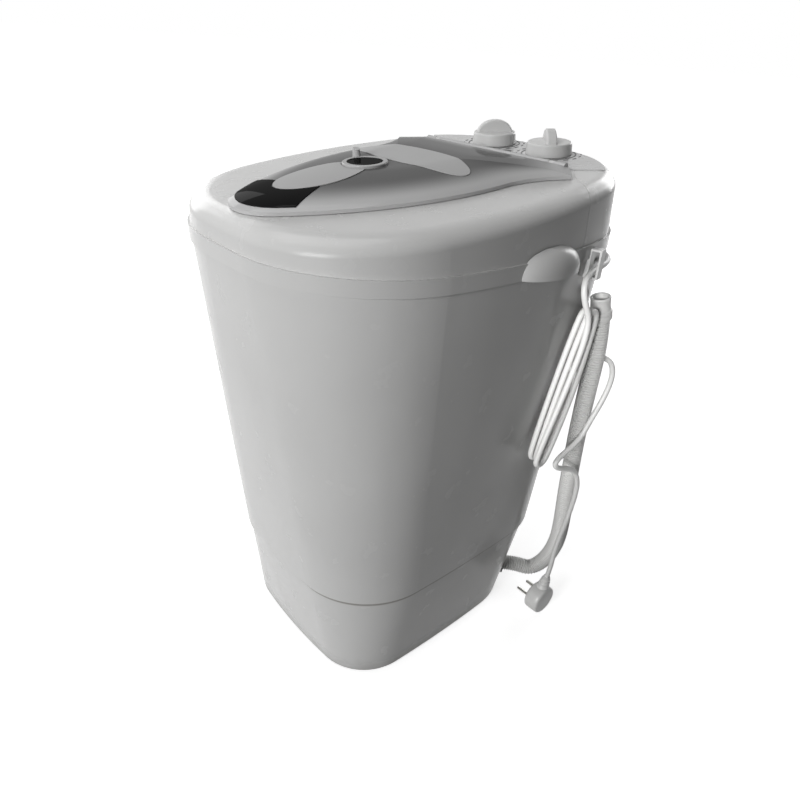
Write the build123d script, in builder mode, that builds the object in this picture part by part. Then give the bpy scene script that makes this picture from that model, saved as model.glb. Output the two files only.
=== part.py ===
"""Mini washing machine: single tub, tapered plastic body, smoked lid, two control knobs.

Millimetres, +Z up, front of the machine towards -Y. The origin is on the floor below the
middle of the machine, without its cord and drain hose.
"""

import math
import os

from build123d import *

# Plan outlines: half width, front, rear, bow of the sides, front and rear, and the
# radius of the front and rear corners. The body is egg shaped and narrows downwards.
RIM_PLAN = (172.0, 207.0, 207.0, 40.0, 9.0, 17.0, 134.0, 122.0)
STEP_PLAN = (146.0, 183.5, 157.0, 6.0, 15.0, 9.5, 95.0, 86.0)
FOOT_PLAN = (132.0, 169.5, 139.0, 6.0, 10.5, 15.5, 66.0, 94.0)

# Heights
foot_height = 6.0
step_height = 132.0
rim_height = 486.0
rim_depth = 14.0
top_height = rim_height + rim_depth

# Walls and gaps
wall = 2.5
base_wall = 3.0
step_ledge = 2.5
collar_overhang = 2.0
seam_gap = 0.3
press_gap = 0.02
running_gap = 0.05

# Joint between the base and the body
lip_width = 4.0
tongue_thick = 2.2
tongue_height = 10.0
flange_thick = 3.0

# Base: bosses, bottom plate and feet
boss_radius = 7.0
boss_places = ((100.0, -136.0), (57.5, 119.6))
boss_web = 3.0
plate_bottom = 8.5
plate_thick = 2.5
foot_places = ((88.0, -96.0), (74.0, 72.0))
foot_radius = 13.0
foot_stem = 4.0
screw_radius = 2.0
screw_head_radius = 4.2
screw_head_height = 2.2

# Deck: one tilted plane, higher at the back
deck_at_middle = 541.75
deck_slope = 0.0895
deck_tilt = math.degrees(math.atan(deck_slope))
shoulder_depth = 14.0
shoulder_side = 20.0
shoulder_front = 18.0
shoulder_rear = 9.0
top_draft = 0.0625
cover_boss_radius = 5.0
housing_boss_places = ((108.0, 166.0),)

# Side grips
grip_y = 17.0
grip_bottom = 486.0
grip_wall = 3.0
grip_inset = 165.0
grip_sections = ((0.0, 42.0, 16.0), (8.0, 41.0, 15.2), (15.0, 36.0, 12.0), (20.0, 27.0, 7.5), (23, 13, 1.5))

# Lid
lid_corner_x = 126.0
lid_corner_y = 92.0
lid_rear = 117.6
lid_rear_half = 103.0
lid_tip_radius = 46.0
lid_waist_x = 108.0
lid_waist_y = 62.0
lid_side_x = 102.0
lid_side_y = 30.0
lid_bow_x = 84.0
lid_bow_y = -90.0
lid_apex = 212.0
lid_centre = -20.0
lid_lift = 0.4
lid_sections = ((1.0, 0.0), (1.0, 3.0), (0.93, 6.5), (0.8, 10.4), (0.6, 14.0), (0.35, 16.4))
lid_mean_reach = 112.0
lid_wall = 2.5
inlay_thick = 0.6
throat_share = 0.9
throat_radius = 144.0
throat_wall = 2.0
throat_bottom = 503.5
crescent_left = (-78.0, -135.0)
crescent_middle = (-24.0, -141.0)
crescent_right = (26.0, -124.0)
crescent_edge = (50.0, -176.0)
wing_y = -4.0
wing_half = 80.0
wing_depth = 27.0
petal_y = -106.0
petal_half = 28.0
petal_depth = 46.0
tab_x = -26.0
tab_y = -46.0
tab_length = 17.0
tab_width = 8.0
tab_height = 8.0
tab_turn = -30.0
handle_y = -56.0
handle_radius = 21.5
handle_inlay_radius = 17.0
handle_height = 2.4
inlay_depth = 1.6
hinge_radius = 3.6
hinge_pin_radius = 2.0
hinge_pin_length = 20.0
hinge_y = lid_rear - hinge_radius
hinge_z = deck_at_middle + deck_slope * hinge_y + lid_lift + hinge_radius
ear_x = 84.0
ear_width = 6.0

# Tub and drive, on the axis of the pulsator
tub_y = -35.0
tub_mouth_radius = 148.0
tub_floor_radius = 122.0
tub_floor = 160.0
tub_floor_thick = 2.5
tub_wall = 2.0
tub_flange = 10.0
tub_ribs = 6
tub_rib_radius = 7.0
web_thick = 2.5
web_gap = 4.0
cover_boss_gap = 9.5
cover_boss_turns = (-38.0, 34.3)
pulsator_radius = 88.0
pulsator_gap = 7.5
pulsator_vanes = 6
pulsator_rim = 4.0
pulsator_height = 18.0
pulsator_hub = 20.0
pulsator_dip_x = 50.0
shaft_radius = 6.0
bearing_radius = 10.0
bearing_height = 12.0
barrel_radius = 16.0
barrel_flange = 40.0
barrel_bottom = 66.0
seal_lip = 4.5
motor_x = 38.0
motor_y = 70.0
motor_radius = 46.0
motor_height = 72.0
motor_shaft_radius = 4.0
bracket_z = 60.0
bracket_thick = 2.0
belt_z = 34.0
driven_radius = 56.0
motor_pulley_radius = 14.0
pulley_half = 5.5
groove_half = 4.4
groove_floor = 2.4
groove_depth = 6.0
belt_gap = 0.3
capacitor_radius = 16.0
capacitor_height = 50.0
capacitor_x = -60.0
capacitor_y = 62.0
drain_x = 84.0
drain_y = 24.0
drain_radius = 9.5
drain_bore = 7.5

# Controls
knob_x = 40.4
knob_y = 162.5
knob_radius = 25.0
knob_base = 12.0
knob_hump = 20.0
knob_hump_rise = 12.0
knob_hump_width = 11.0
knob_wall = 2.5
knob_roof = 4.0
knob_round = 2.0
hub_wall = 3.0
shaft_reach = 9.0
knob_gap = 0.5
timer_turn = 48.0
selector_turn = 136.0
dial_radius = 34.8
dial_ring = 30.0
dial_tick = 5.6
dial_ticks = 18
dial_line = 1.3
panel_thick = 0.8
panel_edge = 14.0
panel_front = 124.0
panel_front_half = 104.0
panel_side_x = 128.0
panel_side_y = 148.0
panel_splay = 70.0
print_thick = 0.3
control_shaft_radius = 3.0
control_shaft_hole = 4.0
control_size = 42.0
control_depth = 28.0
shaft_below = 14.0
terminal_length = 7.0
motor_mouth = 0.35
motor_mouth_gap = 1.0
motor_end_drop = 3.0
motor_step = 2.0
motor_band_bottom = 16.0
motor_band_top = 22.0
motor_shoulder_in = 10.0
motor_shoulder_drop = 6.0
motor_neck_radius = 16.0
motor_cap_radius = 14.0
motor_cap_height = 6.0
motor_vents = 8
motor_vent_circle = 27.0
motor_vent_radius = 4.0
motor_vent_depth = 10.0
lens_y = 140.0
lens_length = 12.0
lens_width = 7.0
lens_depth = 5.0
lens_proud = 0.6

# Drain outlet and hose
outlet_x = 104.2
outlet_y = 114.3
outlet_z = 24.0
outlet_turn = 44.0
outlet_flange = 15.0
outlet_flange_thick = 3.0
hose_radius = 11.0
hose_root = 9.6
hose_bore = 8.0
hose_ribs = 36
cuff_length = 25.0
cuff_radius = 10.6
cuff_collar_radius = 12.6
cuff_collar_length = 10.0
cuff_round = 1.0

# Cord, its grommet and clip
cord_diameter = 6.4
cord_sides = 8
cord_bore = cord_diameter / 2 + press_gap
grommet_z = 462.0
grommet_x = 34.6
grommet_y = 202.5
grommet_turn = 86.3
grommet_radius = 8.0
grommet_length = 24.0
clip_x = 164.6
clip_y = 91.5
clip_turn = 11.5
clip_width = 10.0
clip_reach = 11.5
clip_bottom = 468.0
clip_height = 28.0
clip_bar = 2.0
clip_back = 1.4
hank_top = Vector(0, 98, 434)
hank_bottom = Vector(0, 58, 266)
hank_outer = 184.0
hank_step = 8.0
hank_turns = 2
hank_half = 10.0
hank_fold = 12.0
hank_fan = 22.0
hank_bulge = 2.0
hank_end = (162, 82, 296)
tail_first = (161.5, 92, 320)
plug_place = (182, 108, 21.5)
neck_end = (184, 114, 58)
plug_radius = 20.0
plug_thick = 22.0
plug_pin_radius = 2.4
plug_pin_length = 19.0
plug_pin_spacing = 19.0

os.makedirs("parts", exist_ok=True)


def deck_z(y):
    """Height of the deck at a place along the machine."""
    return deck_at_middle + deck_slope * y


def deck_plane(y, lift=0.0, x=0.0):
    """Plane that lies on the deck, or is raised square to it."""
    base = Plane(origin=(x, y, deck_z(y)), x_dir=(1, 0, 0), z_dir=(0, -deck_slope, 1))
    return base.offset(lift)


def blend_plan(low, high, share):
    """Plan outline part of the way from one to another."""
    return tuple(a + (b - a) * share for a, b in zip(low, high))


def body_plan(z):
    """Plan outline of the tapered body at a height."""
    return blend_plan(STEP_PLAN, RIM_PLAN, (z - step_height) / (rim_height - step_height))


def base_plan(z):
    """Plan outline of the base section at a height."""
    return blend_plan(FOOT_PLAN, STEP_PLAN, (z - foot_height) / (step_height - foot_height))


def section(plane, plan, grow=0.0):
    """Draw a plan outline on a plane, grown or drawn in all round."""
    half, front, rear = (size + grow for size in plan[:3])
    side_bow, front_bow, rear_bow = plan[3:6]
    front_radius, rear_radius = (size + grow for size in plan[6:])
    corner = half - side_bow
    front_left, front_right = (-corner, front_bow - front), (corner, front_bow - front)
    rear_left, rear_right = (-corner, rear - rear_bow), (corner, rear - rear_bow)
    middle = (rear - front) / 2
    with BuildSketch(plane) as drawn:
        with BuildLine():
            ThreePointArc(front_left, (0, -front), front_right)
            ThreePointArc(front_right, (half, middle), rear_right)
            ThreePointArc(rear_right, (0, rear), rear_left)
            ThreePointArc(rear_left, (-half, middle), front_left)
        make_face()
        fillet(drawn.vertices().group_by(Axis.Y)[0], front_radius)
        fillet(drawn.vertices().group_by(Axis.Y)[-1], rear_radius)
    return drawn.sketch


def lid_section(plane, share=1.0):
    """Draw the lid's outline on a plane, scaled about its middle."""

    def place(x, y):
        return (x * share, lid_centre + (y - lid_centre) * share)

    tip = place(0, -lid_apex)
    right, left = place(lid_corner_x, lid_corner_y), place(-lid_corner_x, lid_corner_y)
    with BuildSketch(plane) as drawn:
        with BuildLine():
            for side, corner in ((1, right), (-1, left)):
                middle = place(side * lid_side_x, lid_side_y)
                ThreePointArc(tip, place(side * lid_bow_x, lid_bow_y), middle)
                ThreePointArc(middle, place(side * lid_waist_x, lid_waist_y), corner)
            Polyline(right, place(lid_rear_half, lid_rear), place(-lid_rear_half, lid_rear), left)
        make_face()
        fillet(drawn.vertices().sort_by(Axis.Y)[0], lid_tip_radius * share)
    return drawn.sketch


def rear_region(gap=0.0):
    """Draw the plan of everything behind the seam between cover and control housing."""
    with BuildSketch(Plane.XY.offset(top_height - 10)) as drawn:
        with BuildLine():
            Polyline(
                (-230, 31 + gap),
                (-130, 95 + gap),
                (-104, 121 + gap),
                (104, 121 + gap),
                (130, 95 + gap),
                (230, 31 + gap),
                (230, 300),
                (-230, 300),
                close=True,
            )
        make_face()
    return drawn.sketch


def ring_face(plane, plan, outer, inner):
    """Draw the band between two offsets of a plan outline."""
    with BuildSketch(plane) as drawn:
        add(section(plane, plan, outer))
        add(section(plane, plan, inner), mode=Mode.SUBTRACT)
    return drawn.sketch


def finish(piece, name):
    """Label a finished piece and write it to its own file."""
    piece.part.label = name
    export_step(piece.part, f"parts/{name}.step")


# Base and body outlines, and the form of the top that the cover and control housing share
foot_level = Plane.XY.offset(foot_height)
step_level = Plane.XY.offset(step_height)
rim_level = Plane.XY.offset(rim_height)
top_level = Plane.XY.offset(top_height)
draft_height = 90.0
shoulder_turns = [math.radians(turn) for turn in (0, 22.5, 45, 67.5, 90)]


def wall_draft(y):
    """How far the top's wall is drawn in at the foot of the shoulder."""
    return top_draft * (deck_z(y) - shoulder_depth - top_height)


def shoulder_section(turn, gap=0.0):
    """Draw the shoulder on a tilted plane, a turn up from its foot on the wall to the deck."""
    drop = shoulder_depth * (1 - math.sin(turn))
    share = 1 - math.cos(turn)
    shift = deck_slope * (drop + gap)
    level = math.cos(math.radians(deck_tilt))
    half, front, rear, side_bow, front_bow, rear_bow, front_radius, rear_radius = RIM_PLAN
    front_in = share * shoulder_front + gap
    rear_in = share * shoulder_rear + gap
    plan = (
        half - wall_draft(0) - share * shoulder_side - gap,
        (front - wall_draft(-front) - front_in + shift) / level,
        (rear - wall_draft(rear) - rear_in - shift) / level,
        side_bow,
        front_bow,
        rear_bow,
        front_radius - front_in,
        rear_radius - rear_in,
    )
    return section(deck_plane(0, -drop - gap), plan)


with BuildPart() as base_form:
    loft([section(foot_level, FOOT_PLAN), section(step_level, STEP_PLAN, -step_ledge)], ruled=True)

with BuildPart() as body_form:
    loft([section(step_level, STEP_PLAN), section(rim_level, RIM_PLAN)], ruled=True)

with BuildPart() as top_outer:
    loft([section(top_level, RIM_PLAN), shoulder_section(0)], ruled=True)
    loft([shoulder_section(turn) for turn in shoulder_turns])

with BuildPart() as top_inner:
    loft([section(top_level.offset(-1), RIM_PLAN, -wall), shoulder_section(0, wall)], ruled=True)
    loft([shoulder_section(turn, wall) for turn in shoulder_turns])

# Base housing: tapered skirt with a flange and tongue for the body, bosses and the outlet
outlet_way = Vector(math.cos(math.radians(outlet_turn)), math.sin(math.radians(outlet_turn)), 0)
outlet_place = Vector(outlet_x, outlet_y, outlet_z)
tongue_in = wall + lip_width + seam_gap
all_bosses = [(x * side, y) for x, y in boss_places for side in (1, -1)]

with BuildPart() as base_bosses:
    with BuildSketch(Plane.XY.offset(plate_bottom + plate_thick)) as columns:
        for x, y in all_bosses:
            away = math.degrees(math.atan2(y, x))
            with Locations((x, y)):
                Circle(boss_radius)
                Rectangle(40, boss_web, rotation=away, align=(Align.MIN, Align.CENTER))
    extrude(amount=bracket_z - plate_bottom - plate_thick)
    add(base_form.part, mode=Mode.INTERSECT)

with BuildPart() as base_housing:
    add(base_form.part)
    low = section(foot_level, FOOT_PLAN, -base_wall)
    loft([low, section(step_level, STEP_PLAN, -step_ledge - base_wall)], ruled=True, mode=Mode.SUBTRACT)
    flange_face = ring_face(step_level, STEP_PLAN, -step_ledge - 1, -tongue_in - tongue_thick)
    extrude(flange_face, amount=-flange_thick)
    extrude(ring_face(step_level, STEP_PLAN, -tongue_in, -tongue_in - tongue_thick), amount=tongue_height)
    add(base_bosses.part)
    with Locations(Plane(origin=outlet_place, z_dir=outlet_way)):
        Cylinder(drain_radius + 2, 60, mode=Mode.SUBTRACT)
    with BuildSketch(Plane.XY.offset(plate_bottom + plate_thick)):
        with Locations(*all_bosses):
            Circle(screw_radius)
    extrude(amount=16, mode=Mode.SUBTRACT)
    with BuildSketch(Plane.XY.offset(bracket_z)):
        with Locations(*all_bosses):
            Circle(screw_radius)
    extrude(amount=-14, mode=Mode.SUBTRACT)
finish(base_housing, "base_housing")

# Bottom plate with vents, feet and screws
all_feet = [(x * side, y) for x, y in foot_places for side in (1, -1)]
with BuildPart() as base_plate:
    plate_plan = base_plan(plate_bottom)
    plate_face = section(Plane.XY.offset(plate_bottom), plate_plan, -base_wall - 2 * seam_gap)
    extrude(plate_face, amount=plate_thick)
    with BuildSketch(Plane.XY.offset(plate_bottom)):
        with Locations(*all_bosses):
            Circle(screw_radius + 0.2)
        with Locations(*all_feet):
            Circle(foot_stem)
        with GridLocations(14, 46, 9, 3):
            SlotOverall(34, 6, rotation=90)
    extrude(amount=plate_thick, mode=Mode.SUBTRACT)
finish(base_plate, "base_plate")

with BuildPart() as rubber_feet:
    with Locations(*all_feet):
        Cone(foot_radius - 2, foot_radius, plate_bottom, align=(Align.CENTER, Align.CENTER, Align.MIN))
    with Locations(*[(x, y, plate_bottom) for x, y in all_feet]):
        Cylinder(foot_stem - press_gap, plate_thick + 1.5, align=(Align.CENTER, Align.CENTER, Align.MIN))
finish(rubber_feet, "rubber_feet")

with BuildPart() as base_screws:
    with Locations(*[(x, y, plate_bottom) for x, y in all_bosses]):
        Cylinder(screw_head_radius, screw_head_height, align=(Align.CENTER, Align.CENTER, Align.MAX))
        Cylinder(screw_radius - press_gap, 14, align=(Align.CENTER, Align.CENTER, Align.MIN))
finish(base_screws, "base_screws")

# Outer body: tapered shell whose bottom lip rests on the base
with BuildPart() as outer_body:
    add(body_form.part)
    extrude(section(rim_level, RIM_PLAN), amount=rim_depth - web_thick)
    low = section(step_level, STEP_PLAN, -wall)
    loft([low, section(rim_level, RIM_PLAN, -wall)], ruled=True, mode=Mode.SUBTRACT)
    extrude(section(rim_level, RIM_PLAN, -wall), amount=rim_depth, mode=Mode.SUBTRACT)
    extrude(ring_face(step_level, STEP_PLAN, -1, -wall - lip_width), amount=wall)
    grommet_way = Vector(math.cos(math.radians(grommet_turn)), math.sin(math.radians(grommet_turn)), 0)
    grommet_seat = Plane(origin=(grommet_x, grommet_y, grommet_z), z_dir=grommet_way)
    with Locations(grommet_seat):
        Cylinder(grommet_radius - 2, 30, mode=Mode.SUBTRACT)
finish(outer_body, "outer_body")

# Rim collar: band over the body's top edge, with a web round the tub and two side grips
def grip_loft(plane, shrink=0.0):
    """Blend the grip's half ellipses, or those of its hollow, upwards from its open bottom."""
    drawn = []
    for rise, half_length, reach in grip_sections:
        out = rim_side + reach - grip_inset - shrink
        with BuildSketch(plane.offset(rise)) as outline:
            with Locations((grip_inset, grip_y)):
                Ellipse(out, half_length - shrink)
        drawn.append(outline.sketch)
    return drawn


rim_side = RIM_PLAN[0] + collar_overhang
with BuildPart() as grips:
    loft(grip_loft(Plane.XY.offset(grip_bottom)))
    loft(grip_loft(Plane.XY.offset(grip_bottom - grip_wall), grip_wall), mode=Mode.SUBTRACT)
    mirror(about=Plane.YZ)

with BuildPart() as rim_core:
    loft([section(step_level, STEP_PLAN, 0.6), section(rim_level, RIM_PLAN, 0.6)], ruled=True)
    extrude(section(rim_level, RIM_PLAN, 0.6), amount=60)

with BuildPart() as rim_collar:
    add(grips.part)
    add(rim_core.part, mode=Mode.SUBTRACT)
    extrude(ring_face(rim_level, RIM_PLAN, collar_overhang, 0.2), amount=rim_depth)
    extrude(section(top_level, RIM_PLAN, 1), amount=-web_thick)
    with BuildSketch(top_level):
        with Locations((0, tub_y)):
            Circle(tub_mouth_radius + web_gap)
    extrude(amount=-web_thick, mode=Mode.SUBTRACT)
    boss_reach = tub_mouth_radius + tub_flange + cover_boss_gap
    boss_ways = [Vector(boss_reach, 0, 0).rotate(Axis.Z, turn) for turn in cover_boss_turns]
    cover_bosses = [(way.X * side, tub_y + way.Y) for way in boss_ways for side in (1, -1)]
    housing_bosses = [(x * side, y) for x, y in housing_boss_places for side in (1, -1)]
    with BuildSketch(top_level):
        with Locations(*cover_bosses, *housing_bosses):
            Circle(screw_radius + 0.2)
    extrude(amount=-web_thick, mode=Mode.SUBTRACT)
finish(rim_collar, "rim_collar")

# Top cover: front part of the deck, with the throat over the tub, screw bosses and hinge ears
with BuildPart() as cover_columns:
    with BuildSketch(top_level):
        with Locations(*cover_bosses):
            Circle(cover_boss_radius)
        with Locations(*cover_bosses):
            Circle(screw_radius, mode=Mode.SUBTRACT)
    extrude(amount=draft_height)
    split(bisect_by=deck_plane(0, -wall / 2), keep=Keep.BOTTOM)
    add(top_outer.part, mode=Mode.INTERSECT)

with BuildPart() as throat:
    with BuildSketch(Plane.XY.offset(throat_bottom)) as throat_face:
        with Locations((0, tub_y)):
            Circle(throat_radius + throat_wall)
        throat_outside = throat_share + throat_wall / lid_mean_reach
        add(lid_section(Plane.XY.offset(throat_bottom), throat_outside), mode=Mode.INTERSECT)
    extrude(amount=draft_height)
    split(bisect_by=deck_plane(0, -wall / 2), keep=Keep.BOTTOM)

with BuildPart() as throat_hole:
    with BuildSketch(Plane.XY.offset(throat_bottom - 5)) as hole_face:
        with Locations((0, tub_y)):
            Circle(throat_radius)
        add(lid_section(Plane.XY.offset(throat_bottom - 5), throat_share), mode=Mode.INTERSECT)
    extrude(amount=draft_height)

with BuildPart() as ears:
    with BuildSketch(Plane.YZ.offset(ear_x - ear_width / 2)):
        with Locations((hinge_y, hinge_z)):
            Circle(hinge_radius - 0.2)
        with Locations((hinge_y, hinge_z - hinge_radius)):
            Rectangle(2 * hinge_radius - 0.4, 2 * hinge_radius)
    extrude(amount=ear_width)
    mirror(about=Plane.YZ)

with BuildPart() as top_cover:
    add(top_outer.part)
    add(top_inner.part, mode=Mode.SUBTRACT)
    extrude(rear_region(-seam_gap), amount=draft_height, mode=Mode.SUBTRACT)
    add(cover_columns.part)
    add(throat.part)
    add(ears.part)
    add(throat_hole.part, mode=Mode.SUBTRACT)
    with Locations(Plane(origin=(0, hinge_y, hinge_z), z_dir=(1, 0, 0))):
        Cylinder(hinge_pin_radius + running_gap, 2 * ear_x + 2 * ear_width, mode=Mode.SUBTRACT)
finish(top_cover, "top_cover")

# Control housing: rear part of the deck, closed along the seam
dial_sides = ((-knob_x, "timer"), (knob_x, "selector"))
with BuildPart() as housing_room:
    add(top_inner.part)
    extrude(rear_region(wall), amount=draft_height, mode=Mode.INTERSECT)

with BuildPart() as housing_columns:
    with BuildSketch(top_level):
        with Locations(*housing_bosses):
            Circle(cover_boss_radius)
        with Locations(*housing_bosses):
            Circle(screw_radius, mode=Mode.SUBTRACT)
    extrude(amount=draft_height)
    split(bisect_by=deck_plane(0, -wall / 2), keep=Keep.BOTTOM)
    add(top_outer.part, mode=Mode.INTERSECT)

with BuildPart() as control_housing:
    add(top_outer.part)
    extrude(rear_region(), amount=draft_height, mode=Mode.INTERSECT)
    add(housing_room.part, mode=Mode.SUBTRACT)
    add(housing_columns.part)
    with Locations((0, tub_y, top_height)):
        tub_clearance = tub_mouth_radius + tub_flange + seam_gap
        Cylinder(tub_clearance, 2 * (tub_floor_thick + seam_gap), mode=Mode.SUBTRACT)
    for x, name in dial_sides:
        with Locations(deck_plane(knob_y, 0, x)):
            Cylinder(control_shaft_hole, 20, mode=Mode.SUBTRACT)
    with BuildSketch(deck_plane(lens_y, 1)):
        SlotOverall(lens_length + 2 * press_gap, lens_width + 2 * press_gap)
    extrude(amount=-20, mode=Mode.SUBTRACT)
finish(control_housing, "control_housing")

# Panel overlay: thin sheet on the deck round the controls
def panel_face(plane, gap=0.0):
    """Draw the panel on the deck: straight front, splayed sides and the rear of the body."""
    with BuildSketch(plane) as drawn:
        add(section(plane, RIM_PLAN, -panel_edge + gap))
        with BuildLine(plane):
            front, side_x, side_y = panel_front - gap, panel_side_x + gap, panel_side_y
            Polyline(
                (-panel_front_half, front),
                (panel_front_half, front),
                (side_x, side_y),
                (side_x + panel_splay, 2 * side_y),
                (-side_x - panel_splay, 2 * side_y),
                (-side_x, side_y),
                close=True,
            )
        make_face(mode=Mode.INTERSECT)
    return drawn.sketch


with BuildPart() as panel_overlay:
    extrude(panel_face(Plane.XY.offset(rim_height)), amount=draft_height)
    split(bisect_by=deck_plane(0), keep=Keep.TOP)
    split(bisect_by=deck_plane(0, panel_thick), keep=Keep.BOTTOM)
    for x, name in dial_sides:
        with Locations(deck_plane(knob_y, 0, x)):
            Cylinder(control_shaft_hole, 20, mode=Mode.SUBTRACT)
    with BuildSketch(deck_plane(lens_y, 4)):
        SlotOverall(lens_length + 2 * press_gap, lens_width + 2 * press_gap)
    extrude(amount=-20, mode=Mode.SUBTRACT)
finish(panel_overlay, "panel_overlay")

with BuildPart() as dial_scales:
    for x, name in dial_sides:
        with BuildSketch(deck_plane(knob_y, panel_thick, x)):
            Circle(dial_ring)
            Circle(dial_ring - dial_line, mode=Mode.SUBTRACT)
            with PolarLocations(dial_radius, dial_ticks):
                Rectangle(dial_line, dial_tick)
        extrude(amount=print_thick)
    extrude(panel_face(Plane.XY.offset(rim_height), -dial_line), amount=draft_height, mode=Mode.INTERSECT)
finish(dial_scales, "dial_scales")

with BuildPart() as indicator_lens:
    with BuildSketch(deck_plane(lens_y, panel_thick + lens_proud)):
        SlotOverall(lens_length, lens_width)
    extrude(amount=-lens_depth)
    fillet(indicator_lens.faces().sort_by(Axis.Z)[-1].edges(), lens_proud * 0.8)
finish(indicator_lens, "indicator_lens")

# Timer and selector: switch block below the deck, shaft and knob above
switch_names = {"timer": "timer_unit", "selector": "selector_switch"}
for x, name in dial_sides:
    with BuildPart() as switch_block:
        with BuildSketch(deck_plane(knob_y, -wall, x)):
            RectangleRounded(control_size, control_size, 4)
        extrude(amount=-control_depth)
        with BuildSketch(deck_plane(knob_y, -wall - control_depth, x)):
            with GridLocations(10, 14, 3, 2):
                Rectangle(5, 1)
        extrude(amount=-terminal_length)
        with Locations(deck_plane(knob_y, -wall, x)):
            Cylinder(control_shaft_radius + running_gap, 30, mode=Mode.SUBTRACT)
    finish(switch_block, switch_names[name])

    with BuildPart() as control_shaft:
        with BuildSketch(deck_plane(knob_y, -wall - shaft_below, x)):
            Circle(control_shaft_radius)
        extrude(amount=wall + shaft_below + panel_thick + knob_gap + shaft_reach)
    finish(control_shaft, f"{name}_shaft")

    with BuildPart() as knob:
        base_level = deck_plane(knob_y, panel_thick + knob_gap, x)
        with BuildSketch(base_level):
            Circle(knob_radius)
        extrude(amount=knob_base, taper=5)
        fillet(knob.faces().sort_by(Axis.Z)[-1].edges(), knob_round)
        turn = timer_turn if name == "timer" else selector_turn
        along = base_level.x_dir.rotate(Axis(base_level.origin, base_level.z_dir), turn)
        hump_side = Plane(base_level.offset(knob_base - 1).origin, along, along.cross(base_level.z_dir))
        with BuildSketch(hump_side):
            Ellipse(knob_hump, knob_hump_rise + 1)
            with Locations((0, -knob_hump)):
                Rectangle(3 * knob_hump, 2 * knob_hump, mode=Mode.SUBTRACT)
        extrude(amount=knob_hump_width / 2, both=True)
        fillet(knob.edges().filter_by(GeomType.ELLIPSE), knob_round)
        with BuildSketch(base_level):
            Circle(knob_radius - knob_wall)
            Circle(control_shaft_radius + hub_wall, mode=Mode.SUBTRACT)
        extrude(amount=knob_base - knob_roof, mode=Mode.SUBTRACT)
        with BuildSketch(base_level):
            Circle(control_shaft_radius + press_gap)
        extrude(amount=shaft_reach, mode=Mode.SUBTRACT)
    finish(knob, f"{name}_knob")


# Lid: domed shell over the deck, with a hinge barrel at the rear
def dome(grow, drop):
    """Sections of the lid's dome, drawn in by a wall or grown by an inlay."""
    drawn = []
    for share, rise in lid_sections:
        drawn.append(lid_section(deck_plane(0, lid_lift + rise - drop), share + grow / lid_mean_reach))
    return drawn


with BuildPart() as lid_form:
    loft(dome(0, 0)[:2], ruled=True)
    loft(dome(0, 0)[1:])

with BuildPart() as lid_room:
    loft(dome(-lid_wall, lid_wall)[:2], ruled=True)
    loft(dome(-lid_wall, lid_wall)[1:])

hinge_axis = Plane(origin=(0, hinge_y, hinge_z), z_dir=(1, 0, 0))
slot_reach = hinge_radius + 1.0
with BuildPart() as lid_shell:
    add(lid_form.part)
    add(lid_room.part, mode=Mode.SUBTRACT)
    split(bisect_by=Plane(origin=(0, hinge_y, 0), z_dir=(0, 1, 0)), keep=Keep.BOTTOM)
    with Locations(hinge_axis):
        Cylinder(hinge_radius, 2 * (lid_rear_half - 2))
    with Locations((ear_x, hinge_y, hinge_z), (-ear_x, hinge_y, hinge_z)):
        Box(ear_width + 2 * seam_gap, 2 * slot_reach, 30, mode=Mode.SUBTRACT)
    for side in (1, -1):
        with Locations(hinge_axis.offset(side * ear_x)):
            Cylinder(hinge_pin_radius + press_gap, hinge_pin_length, mode=Mode.SUBTRACT)
finish(lid_shell, "lid_shell")

with BuildPart() as hinge_pins:
    for side in (1, -1):
        with Locations(hinge_axis.offset(side * ear_x)):
            Cylinder(hinge_pin_radius, hinge_pin_length)
finish(hinge_pins, "hinge_pins")

# Lid trim: pale window, dark crescent, handle ring with its inlay and finger tab
lid_cap = lid_lift + lid_sections[-1][1]
with BuildPart() as lid_skin:
    loft(dome(inlay_thick, -inlay_thick)[1:])
    loft(dome(running_gap, -running_gap)[1:], mode=Mode.SUBTRACT)

with BuildPart() as lid_window:
    with BuildSketch(rim_level):
        with Locations((0, wing_y)):
            Ellipse(wing_half, wing_depth)
        with Locations((0, petal_y)):
            Ellipse(petal_half, petal_depth)
        with Locations((0, handle_y)):
            Circle(handle_radius + 2, mode=Mode.SUBTRACT)
    extrude(amount=draft_height + rim_depth)
    add(lid_skin.part, mode=Mode.INTERSECT)
finish(lid_window, "lid_window")

with BuildPart() as lid_crescent:
    with BuildSketch(rim_level) as crescent_face:
        with BuildLine():
            ThreePointArc(crescent_left, crescent_middle, crescent_right)
            front_right, front_left = (crescent_edge[0], -lid_apex), (-lid_corner_x, -lid_apex)
            Polyline(crescent_right, crescent_edge, front_right, front_left, crescent_left)
        make_face()
        add(lid_section(rim_level, 0.96), mode=Mode.INTERSECT)
        with Locations((0, petal_y)):
            Ellipse(petal_half + 1, petal_depth + 1, mode=Mode.SUBTRACT)
    extrude(amount=draft_height + rim_depth)
    add(lid_skin.part, mode=Mode.INTERSECT)
finish(lid_crescent, "lid_crescent")

with BuildPart() as handle_ring:
    lid_top = deck_plane(0, lid_cap)
    with BuildSketch(lid_top):
        with Locations((0, handle_y)):
            Circle(handle_radius)
    extrude(amount=handle_height)
    fillet(handle_ring.faces().sort_by(Axis.Z)[-1].edges(), 1)
    with BuildSketch(lid_top):
        with Locations((tab_x, tab_y)):
            SlotOverall(tab_length, tab_width, rotation=tab_turn)
    extrude(amount=tab_height, taper=8)
    with BuildSketch(lid_top.offset(handle_height)):
        with Locations((0, handle_y)):
            Circle(handle_inlay_radius + press_gap)
    extrude(amount=-inlay_depth, mode=Mode.SUBTRACT)
finish(handle_ring, "handle_ring")

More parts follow.
